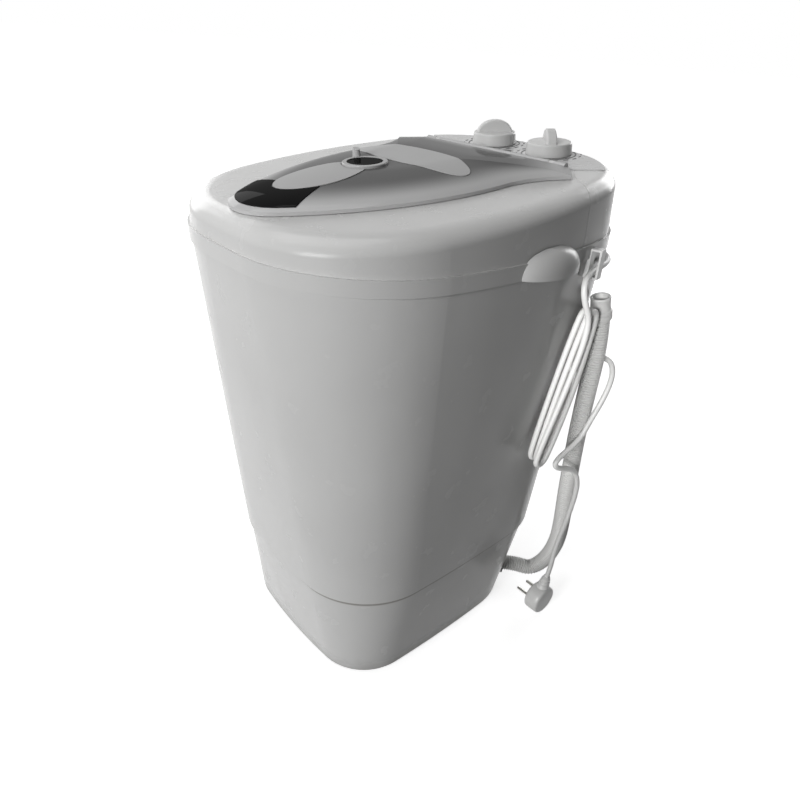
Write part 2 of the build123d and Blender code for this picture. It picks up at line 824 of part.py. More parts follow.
with BuildPart() as handle_inlay:
    with BuildSketch(lid_top.offset(handle_height - inlay_depth)):
        with Locations((0, handle_y)):
            Circle(handle_inlay_radius)
    extrude(amount=inlay_depth - 0.5)
finish(handle_inlay, "handle_inlay")

# Wash tub: cone with a rolled flange, moulded ribs and holes for the shaft and the drain
tub_top = top_height
inner_floor = tub_floor + tub_floor_thick
hub_radius = barrel_radius - 2
with BuildPart() as tub_form:
    with BuildSketch(Plane(origin=(0, tub_y, 0), x_dir=(1, 0, 0), z_dir=(0, -1, 0))) as tub_side:
        with BuildLine():
            Polyline(
                (0, tub_floor),
                (tub_floor_radius, tub_floor),
                (tub_mouth_radius, tub_top),
                (0, tub_top),
                close=True,
            )
        make_face()
        fillet(tub_side.vertices().group_by(Axis.Y)[0].sort_by(Axis.X)[-1], 14)
    revolve(axis=Axis((0, tub_y, 0), (0, 0, 1)))

with BuildPart() as tub_room:
    inner_radius = tub_floor_radius - tub_wall
    with BuildSketch(Plane(origin=(0, tub_y, 0), x_dir=(1, 0, 0), z_dir=(0, -1, 0))) as room_side:
        with BuildLine():
            Polyline(
                (0, inner_floor),
                (inner_radius, inner_floor),
                (tub_mouth_radius - tub_wall, tub_top + 5),
                (0, tub_top + 5),
                close=True,
            )
        make_face()
        fillet(room_side.vertices().group_by(Axis.Y)[0].sort_by(Axis.X)[-1], 12)
    revolve(axis=Axis((0, tub_y, 0), (0, 0, 1)))

with BuildPart() as tub_rib_set:
    for k in range(tub_ribs):
        turn = math.radians(360 / tub_ribs * (k + 0.5))
        low = Vector(math.cos(turn), math.sin(turn)) * (tub_floor_radius + 1)
        high = Vector(math.cos(turn), math.sin(turn)) * (tub_mouth_radius - 3)
        with BuildSketch(Plane.XY.offset(inner_floor + 4)) as rib_low:
            with Locations((low.X, low.Y + tub_y)):
                Circle(tub_rib_radius)
        with BuildSketch(Plane.XY.offset(tub_top - 30)) as rib_high:
            with Locations((high.X, high.Y + tub_y)):
                Circle(tub_rib_radius / 2)
        loft([rib_low.sketch, rib_high.sketch], ruled=True)
    add(tub_form.part, mode=Mode.INTERSECT)

with BuildPart() as wash_tub:
    add(tub_form.part)
    with BuildSketch(Plane.XY.offset(tub_top)):
        with Locations((0, tub_y)):
            Circle(tub_mouth_radius + tub_flange)
    extrude(amount=tub_floor_thick)
    add(tub_room.part, mode=Mode.SUBTRACT)
    add(tub_rib_set.part)
    with BuildSketch(Plane.XY.offset(tub_floor - 1)):
        with Locations((0, tub_y)):
            Circle(hub_radius)
        with Locations((drain_x, drain_y)):
            Circle(drain_bore)
    extrude(amount=tub_floor_thick + 6, mode=Mode.SUBTRACT)
finish(wash_tub, "wash_tub")

# Bearing housing under the tub, with gussets, and its bushes and seal
drive_axis = Axis((0, tub_y, 0), (0, 0, 1))
drive_side = Plane(origin=(0, tub_y, 0), x_dir=(1, 0, 0), z_dir=(0, -1, 0))
with BuildPart() as bearing_housing:
    with BuildSketch(drive_side):
        with BuildLine():
            Polyline(
                (bearing_radius, barrel_bottom),
                (barrel_radius, barrel_bottom),
                (barrel_radius, tub_floor - 6),
                (barrel_flange, tub_floor - 6),
                (barrel_flange, tub_floor),
                (hub_radius - press_gap, tub_floor),
                (hub_radius - press_gap, inner_floor),
                (bearing_radius, inner_floor),
                close=True,
            )
        make_face()
    revolve(axis=drive_axis)
    for turn in range(0, 360, 60):
        gusset_way = Vector(1, 0, 0).rotate(Axis.Z, turn)
        gusset = Plane(origin=(0, tub_y, 0), x_dir=gusset_way, z_dir=gusset_way.rotate(Axis.Z, -90))
        with BuildSketch(gusset):
            with BuildLine():
                Polyline(
                    (barrel_radius - 1, barrel_bottom + 14),
                    (barrel_flange - 2, tub_floor - 5),
                    (barrel_radius - 1, tub_floor - 5),
                    close=True,
                )
            make_face()
        extrude(amount=1.5, both=True)
finish(bearing_housing, "bearing_housing")

with BuildPart() as bearings:
    for z in (barrel_bottom + 2, tub_floor - 4 - bearing_height):
        with BuildSketch(Plane.XY.offset(z)):
            with Locations((0, tub_y)):
                Circle(bearing_radius - press_gap)
                Circle(shaft_radius + running_gap, mode=Mode.SUBTRACT)
        extrude(amount=bearing_height)
finish(bearings, "bearings")

with BuildPart() as shaft_seal:
    with BuildSketch(Plane.XY.offset(tub_floor - 3)):
        with Locations((0, tub_y)):
            Circle(bearing_radius - press_gap)
    extrude(amount=tub_floor_thick + 3)
    with BuildSketch(Plane.XY.offset(inner_floor)):
        with Locations((0, tub_y)):
            Circle(bearing_radius - 0.5)
    extrude(amount=seal_lip, taper=15)
    with Locations((0, tub_y, tub_floor)):
        Cylinder(shaft_radius + running_gap, 30, mode=Mode.SUBTRACT)
finish(shaft_seal, "shaft_seal")

# Pulsator with vanes, its screw, the drive shaft and the driven pulley
pulsator_bottom = inner_floor + pulsator_gap
pulsator_top = pulsator_bottom + pulsator_height
with BuildPart() as pulsator:
    with BuildSketch(drive_side):
        with BuildLine():
            rim_in = pulsator_radius - pulsator_rim
            rim_top = pulsator_bottom + 1.75 * pulsator_rim
            Line((0, pulsator_bottom), (rim_in, pulsator_bottom))
            rim_side = (pulsator_radius, pulsator_bottom + pulsator_rim)
            ThreePointArc((rim_in, pulsator_bottom), rim_side, (rim_in, rim_top))
            dip = (pulsator_dip_x, pulsator_bottom + 9)
            ThreePointArc((rim_in, rim_top), dip, (pulsator_hub, pulsator_top))
            Line((pulsator_hub, pulsator_top), (0, pulsator_top))
            Line((0, pulsator_top), (0, pulsator_bottom))
        make_face()
    revolve(axis=drive_axis)
    with BuildSketch(Plane.XY.offset(pulsator_bottom + 5)):
        with Locations((0, tub_y)):
            with PolarLocations(48, pulsator_vanes):
                SlotOverall(68, 13)
    extrude(amount=14, taper=12)
    with Locations((0, tub_y, pulsator_bottom)):
        Cylinder(shaft_radius + press_gap, 28, mode=Mode.SUBTRACT)
    with Locations((0, tub_y, pulsator_top)):
        Cylinder(9, 8, mode=Mode.SUBTRACT)
finish(pulsator, "pulsator")

with BuildPart() as pulsator_screw:
    with BuildSketch(Plane.XY.offset(pulsator_bottom + 14)):
        with Locations((0, tub_y)):
            Circle(8.5)
    extrude(amount=5, taper=10)
    with Locations((0, tub_y, pulsator_bottom + 19)):
        Box(12, 2, 3, mode=Mode.SUBTRACT)
finish(pulsator_screw, "pulsator_screw")

with BuildPart() as drive_shaft:
    with BuildSketch(Plane.XY.offset(belt_z - pulley_half - 3)):
        with Locations((0, tub_y)):
            Circle(shaft_radius)
    extrude(amount=pulsator_bottom + 14 - belt_z + pulley_half + 3)
finish(drive_shaft, "drive_shaft")


def pulley_side(plane, rim, bore, web_in):
    """Draw half a grooved pulley: rim with its groove, web and hub."""
    low, high = belt_z - pulley_half, belt_z + pulley_half
    floor = rim - groove_depth
    with BuildSketch(plane) as drawn:
        with BuildLine():
            Polyline(
                (bore, low),
                (rim, low),
                (rim, belt_z - groove_half),
                (floor, belt_z - groove_floor),
                (floor, belt_z + groove_floor),
                (rim, belt_z + groove_half),
                (rim, high),
                (bore, high),
                close=True,
            )
        make_face()
        if web_in:
            for z in (low, high):
                with Locations(((floor - 4 + 2 * shaft_radius) / 2, z)):
                    Rectangle(floor - 4 - 2 * shaft_radius, web_in, mode=Mode.SUBTRACT)
    return drawn.sketch


with BuildPart() as driven_pulley:
    revolve(pulley_side(drive_side, driven_radius, shaft_radius + press_gap, 6), axis=drive_axis)
    with Locations((0, tub_y, belt_z)):
        with PolarLocations(29, 5):
            Cylinder(9, 20, mode=Mode.SUBTRACT)
finish(driven_pulley, "driven_pulley")

# Motor on its bracket, with its shaft, pulley and capacitor
motor_axis = Axis((motor_x, motor_y, 0), (0, 0, 1))
motor_side = Plane(origin=(motor_x, motor_y, 0), x_dir=(1, 0, 0), z_dir=(0, -1, 0))
bracket_top = bracket_z + bracket_thick
with BuildPart() as motor_bracket:
    bracket_face = section(Plane.XY.offset(bracket_z), base_plan(bracket_z), -base_wall - 1.5)
    extrude(bracket_face, amount=bracket_thick)
    with BuildSketch(Plane.XY.offset(bracket_z)):
        with Locations((0, tub_y)):
            Circle(barrel_radius + 6)
        with Locations((motor_x, motor_y)):
            Circle(motor_radius * 0.35)
        with Locations((drain_x, drain_y)):
            Circle(drain_radius + 3)
        with Locations((55, -100), (-55, -100), (-80, 0)):
            SlotOverall(62, 28, rotation=90)
        with Locations(*all_bosses):
            Circle(screw_radius + 0.2)
    extrude(amount=bracket_thick, mode=Mode.SUBTRACT)
finish(motor_bracket, "motor_bracket")

with BuildPart() as bracket_screws:
    with Locations(*[(x, y, bracket_top) for x, y in all_bosses]):
        Cylinder(screw_head_radius, screw_head_height, align=(Align.CENTER, Align.CENTER, Align.MIN))
        Cylinder(screw_radius - press_gap, 12, align=(Align.CENTER, Align.CENTER, Align.MAX))
finish(bracket_screws, "bracket_screws")

with BuildPart() as motor_case:
    motor_top = bracket_top + motor_height
    motor_end = bracket_z - motor_end_drop
    mouth_radius = motor_radius * motor_mouth - motor_mouth_gap
    band_root = motor_radius - motor_step
    with BuildSketch(motor_side):
        with BuildLine():
            Polyline(
                (0, motor_end),
                (mouth_radius, motor_end),
                (mouth_radius, bracket_top),
                (band_root, bracket_top),
                (band_root, bracket_top + motor_band_bottom),
                (motor_radius, bracket_top + motor_band_bottom),
                (motor_radius, motor_top - motor_band_top),
                (band_root, motor_top - motor_band_top),
                (band_root, motor_top - motor_shoulder_drop),
                (motor_radius - motor_shoulder_in, motor_top),
                (motor_neck_radius, motor_top),
                (motor_cap_radius, motor_top + motor_cap_height),
                (0, motor_top + motor_cap_height),
                close=True,
            )
        make_face()
    revolve(axis=motor_axis)
    with Locations((motor_x, motor_y, motor_top)):
        with PolarLocations(motor_vent_circle, motor_vents):
            Cylinder(motor_vent_radius, motor_vent_depth, mode=Mode.SUBTRACT)
    with BuildSketch(Plane.XY.offset(motor_end)):
        with Locations((motor_x, motor_y)):
            Circle(motor_shaft_radius + running_gap)
    extrude(amount=motor_height - 6, mode=Mode.SUBTRACT)
finish(motor_case, "motor_case")

with BuildPart() as motor_shaft:
    with BuildSketch(Plane.XY.offset(belt_z - pulley_half - 2)):
        with Locations((motor_x, motor_y)):
            Circle(motor_shaft_radius)
    extrude(amount=bracket_z + motor_height - 14 - belt_z + pulley_half + 2)
finish(motor_shaft, "motor_shaft")

with BuildPart() as motor_pulley:
    revolve(pulley_side(motor_side, motor_pulley_radius, motor_shaft_radius + press_gap, 0), axis=motor_axis)
finish(motor_pulley, "motor_pulley")

with BuildPart() as capacitor:
    with BuildSketch(Plane.XY.offset(bracket_top)):
        with Locations((capacitor_x, capacitor_y)):
            Circle(capacitor_radius)
    extrude(amount=capacitor_height)
    fillet(capacitor.faces().sort_by(Axis.Z)[-1].edges(), 2)
    with Locations((capacitor_x, capacitor_y, bracket_top + capacitor_height)):
        with GridLocations(10, 10, 2, 1):
            Box(1, 6, 16)
finish(capacitor, "capacitor")

# Belt round both pulleys: a band whose inside narrows to fit the grooves
belt_out = 0.8
belt_in = groove_depth - 0.5


def groove_width(depth):
    """Half width of the belt at a depth in the groove."""
    return groove_half - (groove_half - groove_floor) * depth / groove_depth - belt_gap


def belt_hull(z, depth):
    """Draw the belt's outline at a depth in both grooves."""
    with BuildSketch(Plane.XY.offset(z)) as drawn:
        with Locations((0, tub_y)):
            Circle(driven_radius - depth)
        with Locations((motor_x, motor_y)):
            Circle(motor_pulley_radius - depth)
        make_hull()
    return drawn.sketch


with BuildPart() as drive_belt:
    wide, narrow = groove_width(belt_out), groove_width(belt_in)
    extrude(belt_hull(belt_z - wide, belt_out), amount=2 * wide)
    extrude(belt_hull(belt_z - wide, belt_in), amount=2 * wide, mode=Mode.SUBTRACT)
    for side in (1, -1):
        sections = [belt_hull(belt_z + side * narrow, belt_in), belt_hull(belt_z + side * wide, belt_out)]
        loft(sections, ruled=True, mode=Mode.SUBTRACT)
finish(drive_belt, "drive_belt")

# Drain: pipe from the tub's floor to the outlet socket in the base
drain_end = outlet_place - outlet_way * 14
drain_turn = drain_end - outlet_way * 16
with BuildLine() as drain_line:
    drop = [(drain_x, drain_y, tub_floor), (drain_x, drain_y, outlet_z)]
    FilletPolyline(*drop, tuple(drain_turn), tuple(drain_end), radius=[18, 12])
with BuildPart() as drain_elbow:
    with BuildSketch(Plane(origin=(drain_x, drain_y, tub_floor), z_dir=(0, 0, -1))):
        Circle(drain_radius)
        Circle(drain_bore, mode=Mode.SUBTRACT)
    sweep(path=drain_line.wires()[0])
    with BuildSketch(Plane.XY.offset(tub_floor)):
        with Locations((drain_x, drain_y)):
            Circle(drain_radius + 3)
            Circle(drain_bore, mode=Mode.SUBTRACT)
    extrude(amount=-3)
finish(drain_elbow, "drain_elbow")

with BuildPart() as outlet_socket:
    with BuildSketch(Plane(origin=outlet_place - outlet_way * 4, z_dir=outlet_way)):
        Circle(outlet_flange)
    extrude(amount=4 + outlet_flange_thick)
    add(base_form.part, mode=Mode.SUBTRACT)
    with BuildSketch(Plane(origin=drain_end, z_dir=outlet_way)):
        Circle(drain_radius + 2 - press_gap)
    extrude(amount=16)
    with BuildSketch(Plane(origin=outlet_place, z_dir=outlet_way)):
        Circle(hose_bore - press_gap)
    extrude(amount=outlet_flange_thick + 12)
    with BuildSketch(Plane(origin=drain_end, z_dir=outlet_way)):
        Circle(drain_bore - 1)
    extrude(amount=40, mode=Mode.SUBTRACT)
finish(outlet_socket, "outlet_socket")

# Screws from below through the collar's web
with BuildPart() as cover_screws:
    with Locations(*[(x, y, top_height - web_thick) for x, y in cover_bosses + housing_bosses]):
        Cylinder(screw_head_radius, screw_head_height, align=(Align.CENTER, Align.CENTER, Align.MAX))
        Cylinder(screw_radius - press_gap, 16, align=(Align.CENTER, Align.CENTER, Align.MIN))
finish(cover_screws, "cover_screws")

# Clip for the cord and hose: square loop on the rim collar
with BuildPart() as clip_core:
    extrude(section(rim_level, RIM_PLAN, collar_overhang + press_gap), amount=rim_depth)
    loft([section(step_level, STEP_PLAN, press_gap), section(rim_level, RIM_PLAN, press_gap)], ruled=True)

with BuildPart() as hose_clip:
    clip_way = Vector(1, 0, 0).rotate(Axis.Z, clip_turn)
    clip_side = Vector(0, 1, 0).rotate(Axis.Z, clip_turn)
    clip_middle = clip_bottom + clip_height / 2
    clip_foot = Vector(clip_x, clip_y, clip_middle)
    with BuildSketch(Plane(origin=clip_foot, x_dir=clip_way, z_dir=-clip_side)):
        with Locations((clip_reach / 2 - 3, 0)):
            Rectangle(clip_reach + 6, clip_height)
        with Locations(((clip_back + clip_reach - clip_bar) / 2, 0)):
            Rectangle(clip_reach - clip_bar - clip_back, clip_height - 2 * clip_bar, mode=Mode.SUBTRACT)
    extrude(amount=clip_width / 2, both=True)
    add(clip_core.part, mode=Mode.SUBTRACT)
finish(hose_clip, "hose_clip")

# Cord grommet: tapered sleeve in the body wall
grommet_seat = Plane(origin=(grommet_x, grommet_y, grommet_z), z_dir=grommet_way)
with BuildPart() as grommet_wall:
    add(body_form.part)
    with Locations(grommet_seat):
        Cylinder(grommet_radius - 2, 60, mode=Mode.SUBTRACT)

with BuildPart() as cord_grommet:
    with BuildSketch(grommet_seat.offset(-6)):
        Circle(grommet_radius)
    extrude(amount=9)
    with BuildSketch(grommet_seat.offset(3)):
        Circle(grommet_radius - 1.5)
    with BuildSketch(grommet_seat.offset(grommet_length)):
        Circle(cord_bore + 1.2)
    loft()
    add(grommet_wall.part, mode=Mode.SUBTRACT)
    with Locations(grommet_seat):
        Cylinder(cord_bore, 60, mode=Mode.SUBTRACT)
finish(cord_grommet, "cord_grommet")


# Free cords: hose with its cuff, power cord in three stretches, and the plug
def route(points, share=0.45):
    """Line through hand-set corners, each turned by an arc that touches both straight runs."""
    stops = [Vector(*point) for point in points]
    radii = []
    for before, here, after in zip(stops, stops[1:], stops[2:]):
        arriving, leaving = here - before, after - here
        half_turn = math.radians(arriving.get_angle(leaving)) / 2
        radii.append(share * min(arriving.length, leaving.length) / math.tan(half_turn))
    print("least bend radius", round(min(radii), 1), "of", len(radii), "turns")
    with BuildLine() as drawn:
        FilletPolyline(*stops, radius=radii)
    return drawn.wires()[0]


def cord(path):
    """Sweep the cord's section along a path and compare the volume with the section's."""
    with BuildPart() as drawn:
        with BuildSketch(Plane(origin=path @ 0, z_dir=path % 0)) as cord_face:
            RegularPolygon(cord_diameter / 2, cord_sides)
        sweep(path=path)
    share = drawn.part.volume / (cord_face.sketch.area * path.length)
    print("cord length", round(path.length), "volume share", round(share, 4))
    return drawn


hose_start = outlet_place + outlet_way * outlet_flange_thick
hose_points = [
    hose_start,
    hose_start + outlet_way * 20,
    (134, 142, 18),
    (144, 151, 27),
    (153, 157, 46),
    (160, 157, 72),
    (166, 151, 98),
    (169, 145, 132),
    (169, 140, 172),
    (167.5, 139, 215),
    (165, 140, 258),
    (164, 141, 300),
    (165, 140, 342),
    (165, 138.5, 385),
    (165.5, 136, 415),
]
hose_path = route(hose_points)
with BuildPart() as hose_room:
    with BuildSketch(Plane(origin=hose_path @ 0, z_dir=hose_path % 0)):
        Circle(hose_bore)
    sweep(path=hose_path)

with BuildPart() as drain_hose:
    rings = []
    for k in range(4 * hose_ribs + 1):
        share = k / (4 * hose_ribs)
        ring_radius = hose_radius if k % 4 in (2, 3) else hose_root
        with BuildSketch(Plane(origin=hose_path @ share, x_dir=(1, -1, 0), z_dir=hose_path % share)) as ring:
            Circle(ring_radius)
        rings.append(ring.sketch)
    loft(rings, ruled=True)
    add(hose_room.part, mode=Mode.SUBTRACT)
finish(drain_hose, "drain_hose")

cuff_seat = Plane(origin=hose_path @ 1, z_dir=hose_path % 1)
with BuildPart() as hose_cuff:
    with BuildSketch(cuff_seat):
        Circle(cuff_radius)
    extrude(amount=cuff_length)
    with BuildSketch(cuff_seat):
        Circle(cuff_collar_radius)
    extrude(amount=cuff_collar_length)
    rims = hose_cuff.edges().filter_by(GeomType.CIRCLE)
    collar_rims = rims.filter_by(lambda rim: rim.radius > cuff_radius + cuff_round)
    fillet(collar_rims + rims.sort_by(Axis.Z)[-1:], cuff_round)
    with BuildSketch(cuff_seat):
        Circle(hose_bore)
    extrude(amount=cuff_length + 5, mode=Mode.SUBTRACT)
finish(hose_cuff, "hose_cuff")

# Hank: turns of the cord between a top and a bottom fold, stacked outwards from the body
hank_middle = (hank_top + hank_bottom) / 2
hank_down = (hank_bottom - hank_top).normalized()
hank_across = Vector(0, -hank_down.Z, hank_down.Y)
hank_reach = (hank_bottom - hank_top).length / 2


def hank_point(turns, along, across):
    """Place a point of the hank: how far round it is, down its length and across it."""
    fan = hank_fan * max(0, 1 - turns) * max(0, along) / hank_reach
    out = Vector(hank_outer - hank_step * turns, 0, 0)
    return Vector(0, hank_middle.Y, hank_middle.Z) + out + hank_down * along + hank_across * (across - fan)


fold = hank_reach - hank_fold
hank_round = (
    (0.04, -fold, -hank_half),
    (0.25, 0, -hank_half - hank_bulge),
    (0.46, fold, -hank_half),
    (0.49, hank_reach, -hank_half / 2),
    (0.51, hank_reach, hank_half / 2),
    (0.54, fold, hank_half),
    (0.75, 0, hank_half + hank_bulge),
    (0.96, -fold, hank_half),
    (0.99, -hank_reach, hank_half / 2),
    (1.01, -hank_reach, -hank_half / 2),
)
hank_points = []
for k in range(hank_turns):
    for share, along, across in hank_round:
        hank_points.append(hank_point(k + share, along, across))
for share, along, across in hank_round[:6]:
    hank_points.append(hank_point(hank_turns + share, along, across))
tail_way = (Vector(*tail_first) - Vector(*hank_end)).normalized()
tail_start = Vector(*hank_end) + tail_way * 9
hank_points += [Vector(*hank_end), tail_start]
hank_path = route(hank_points)
power_cord_hank = cord(hank_path)
finish(power_cord_hank, "power_cord_hank")

# The least gap between turns, measured on points along the hank
steps = round(hank_path.length / 2)
trail = [hank_path @ (k / steps) for k in range(steps + 1)]
apart = 12
least = min((a - b).length for k, a in enumerate(trail) for b in trail[k + apart:])
print("least gap between turns of the hank", round(least - cord_diameter, 2))

# Lead from the grommet round the corner and through the clip, and tail down to the plug
lead_start = grommet_seat.origin + grommet_way * grommet_length
hank_start = hank_points[0]
hank_way = (hank_points[1] - hank_start).normalized()
lead_points = [
    lead_start,
    lead_start + grommet_way * 8,
    (41, 242, 462.5),
    (50, 246, 463),
    (60, 243.5, 463.5),
    (68, 236, 464),
    (74, 225, 464.5),
    (80, 213, 465),
    (89, 203.5, 465.5),
    (101, 195, 466),
    (113.5, 186.8, 467),
    (125.5, 177.3, 468),
    (137, 165.5, 469.5),
    (147.2, 151.5, 471),
    (155.8, 135.6, 473.5),
    (165.2, 115.8, 476),
    (173, 78, 474),
    (176.5, 70, 466),
    (180, 70, 453),
    hank_start - hank_way * 12,
    hank_start,
]
power_cord_lead = cord(route(lead_points))
finish(power_cord_lead, "power_cord_lead")

neck_way = (Vector(*neck_end) - Vector(*plug_place)).normalized()
tail_points = [
    tail_start,
    tail_first,
    (160, 101, 340),
    (155, 114, 350),
    (148.5, 130, 352),
    (148.5, 142, 355),
    (157, 157, 360),
    (171, 163, 362),
    (184, 155, 352),
    (188, 142, 330),
    (184, 127, 296),
    (183, 118, 278),
    (180, 100, 266),
    (178, 88, 259),
    (178, 83, 252),
    (179, 90, 245),
    (181, 104, 240),
    (183, 120, 232),
    (186, 130, 214),
    (187, 131, 190),
    (184, 130, 146),
    (180, 125, 100),
    Vector(*neck_end) + neck_way * 14,
    neck_end,
]
power_cord_tail = cord(route(tail_points))
finish(power_cord_tail, "power_cord_tail")

# Plug: round body with a bevelled rim, a tapered neck for the cord and two pins
plug_seat = Plane(origin=plug_place, z_dir=(-1, 0, 0))
with BuildPart() as power_plug:
    with BuildSketch(plug_seat.offset(-plug_thick / 2)):
        Circle(plug_radius)
    extrude(amount=plug_thick)
    chamfer(power_plug.edges().filter_by(GeomType.CIRCLE), 3)
    with BuildSketch(Plane(origin=Vector(*plug_place) + neck_way * 12, z_dir=neck_way)):
        Circle(9)
    with BuildSketch(Plane(origin=neck_end, z_dir=neck_way)):
        Circle(cord_diameter / 2 + 1.2)
    loft()
finish(power_plug, "power_plug")

with BuildPart() as plug_pins:
    with BuildSketch(plug_seat.offset(plug_thick / 2)):
        with Locations((0, plug_pin_spacing / 2), (0, -plug_pin_spacing / 2)):
            Circle(plug_pin_radius)
    extrude(amount=plug_pin_length)
    fillet(plug_pins.faces().sort_by(Axis.X)[:2].edges(), 1.5)
finish(plug_pins, "plug_pins")
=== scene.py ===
"""Looks of a mini washing machine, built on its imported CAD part.

The CAD nodes keep their shapes and get procedural plastics, metals and rubber. The drain
hose with its cuff, and the power cord with its plug, are made here, in metres, in the part's
own frame.
"""

import math

import bmesh
import bpy
from mathutils import Matrix, Vector


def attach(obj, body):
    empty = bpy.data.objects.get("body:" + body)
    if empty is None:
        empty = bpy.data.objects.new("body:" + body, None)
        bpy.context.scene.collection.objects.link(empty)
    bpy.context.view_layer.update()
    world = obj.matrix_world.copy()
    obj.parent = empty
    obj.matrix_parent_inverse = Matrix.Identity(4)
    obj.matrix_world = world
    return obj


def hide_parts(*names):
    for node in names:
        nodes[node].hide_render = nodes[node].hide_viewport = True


bl_info = {
    "name": "Mini washing machine finish",
    "version": (1, 0, 0),
    "blender": (4, 5, 0),
    "location": "3D View > Sidebar > Washer",
    "description": "Finishes, hose, cord, plug and studio for a mini washing machine",
    "category": "Object",
}

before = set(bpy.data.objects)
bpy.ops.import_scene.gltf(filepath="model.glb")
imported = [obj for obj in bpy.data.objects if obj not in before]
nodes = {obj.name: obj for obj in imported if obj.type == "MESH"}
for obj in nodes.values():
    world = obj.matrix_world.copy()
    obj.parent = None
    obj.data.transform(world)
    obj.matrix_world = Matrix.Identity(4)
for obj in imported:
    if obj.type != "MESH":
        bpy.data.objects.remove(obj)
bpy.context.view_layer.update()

# The photograph's camera, solved from the machine's outlines
CAMERA_PLACE = Vector((0.49142, -0.43177, 0.65056))
CAMERA_AHEAD = Vector((-0.6005, 0.5833, -0.547))
CAMERA_UP = Vector((-0.4412, 0.3289, 0.835))
CAMERA_LENS = 27.545
CAMERA_SHIFT = (-0.0311, 0.0541)

# The lid's deck, and the heights over it between which the lid's skirt turns to smoke
DECK_HEIGHT = 0.54175
DECK_SLOPE = 0.0895
SKIRT_TOP = 0.0065
CROWN_START = 0.0140

# Height of the step where the body stands out over the base, and depth of the painted shade in its seam
STEP_HEIGHT = 0.132
SEAM_WIDTH = 0.0070

# Drain hose: centre line from the outlet to the cuff, then the cuff's open end
HOSE_POINTS = (
    (0.1064, 0.1164, 0.024),
    (0.1207, 0.1303, 0.024),
    (0.134, 0.142, 0.018),
    (0.144, 0.151, 0.027),
    (0.153, 0.157, 0.046),
    (0.160, 0.157, 0.072),
    (0.166, 0.151, 0.098),
    (0.169, 0.145, 0.132),
    (0.169, 0.140, 0.172),
    (0.1675, 0.139, 0.215),
    (0.165, 0.140, 0.258),
    (0.164, 0.141, 0.300),
    (0.165, 0.140, 0.342),
    (0.1655, 0.139, 0.385),
    (0.1635, 0.1345, 0.415),
)
CUFF_END = (0.1612, 0.1300, 0.4395)

# Hose wall: bore, depth of the grooves between the ribs, sides round the tube, samples to a
# rib, and the power that squares the ribs off
HOSE_BORE = 0.008
HOSE_GROOVE = 0.0013
HOSE_SIDES = 24
RIB_SAMPLES = 8.0
RIB_SQUARING = 0.6

# Cuff radii: banded collar, plain tube, and the lip round the open end
CUFF_BAND = 0.0126
CUFF_TUBE = 0.0106
CUFF_LIP = 0.01085

# Power cord: from the strain relief behind the body, through the clip, to the hank and the plug
LEAD_POINTS = (
    (0.03615, 0.22645, 0.462),
    (0.03667, 0.23443, 0.462),
    (0.041, 0.242, 0.4625),
    (0.050, 0.246, 0.463),
    (0.060, 0.2435, 0.4635),
    (0.068, 0.236, 0.464),
    (0.074, 0.225, 0.4645),
    (0.080, 0.213, 0.465),
    (0.089, 0.2035, 0.4655),
    (0.101, 0.195, 0.466),
    (0.1135, 0.1868, 0.467),
    (0.1255, 0.1773, 0.468),
    (0.137, 0.1655, 0.4695),
    (0.1472, 0.1515, 0.471),
    (0.1558, 0.1356, 0.4735),
    (0.1652, 0.1158, 0.476),
    (0.173, 0.078, 0.474),
    (0.1765, 0.070, 0.466),
    (0.180, 0.070, 0.453),
)

# Hank: middles of its folds, distance of the outermost turn from the machine's middle, step
# inwards from turn to turn, number of whole turns, half the width between strands, depth of a
# fold, spread of the first turn's low end, and bulge of a strand
HANK_TOP = Vector((0, 0.098, 0.434))
HANK_BOTTOM = Vector((0, 0.058, 0.266))
HANK_OUTER = 0.184
HANK_STEP = 0.008
HANK_TURNS = 2
HANK_HALF = 0.010
HANK_FOLD = 0.012
HANK_FAN = 0.022
HANK_BULGE = 0.002

# Tail: from the hank's low fold up and round the hose, then down to the plug
TAIL_POINTS = (
    (0.162, 0.082, 0.296),
    (0.1615, 0.092, 0.320),
    (0.160, 0.101, 0.340),
    (0.155, 0.114, 0.350),
    (0.1485, 0.130, 0.352),
    (0.1485, 0.142, 0.355),
    (0.157, 0.157, 0.360),
    (0.171, 0.163, 0.362),
    (0.184, 0.155, 0.352),
    (0.188, 0.142, 0.330),
    (0.184, 0.127, 0.296),
    (0.183, 0.118, 0.278),
    (0.180, 0.100, 0.266),
    (0.178, 0.088, 0.259),
    (0.178, 0.083, 0.252),
    (0.179, 0.090, 0.245),
    (0.181, 0.104, 0.240),
    (0.183, 0.120, 0.232),
    (0.186, 0.130, 0.214),
    (0.187, 0.131, 0.190),
    (0.184, 0.130, 0.146),
    (0.180, 0.125, 0.100),
    (0.1848, 0.1163, 0.0718),
    (0.184, 0.114, 0.058),
)

# Plug: middle, radius and half thickness of its round body, and the end of its neck
PLUG_PLACE = Vector((0.182, 0.108, 0.0215))
PLUG_RADIUS = 0.0200
PLUG_HALF = 0.0110
NECK_END = Vector((0.184, 0.114, 0.058))

# Studio floor: half its side, and where its glow starts and stops rising away from the machine
FLOOR_REACH = 60.0
GLOW_NEAR = 0.35
GLOW_FAR = 1.5

# Soft lights: name, place, size, the power they take and their share of it
LIGHTS_AIM = Vector((0, 0, 0.3))
SOFT_LIGHTS = (
    ("key_light", (0.52, -2.72, 1.15), 1.2, "key", 1.0),
    ("top_light", (-0.8, -0.4, 2.5), 1.6, "top", 1.0),
    ("back_light", (-0.45, 2.85, 1.3), 1.3, "back", 1.0),
    ("side_light", (-2.8, 0.1, 1.2), 1.4, "back", 0.6),
)

# Narrow light that reaches nothing but the hose, its cuff, the cord and the clip
HOSE_LIGHT_PLACE = (1.15, -1.95, 1.0)
HOSE_LIGHT_ANGLE = 12
HOSE_LIGHT_RADIUS = 0.15


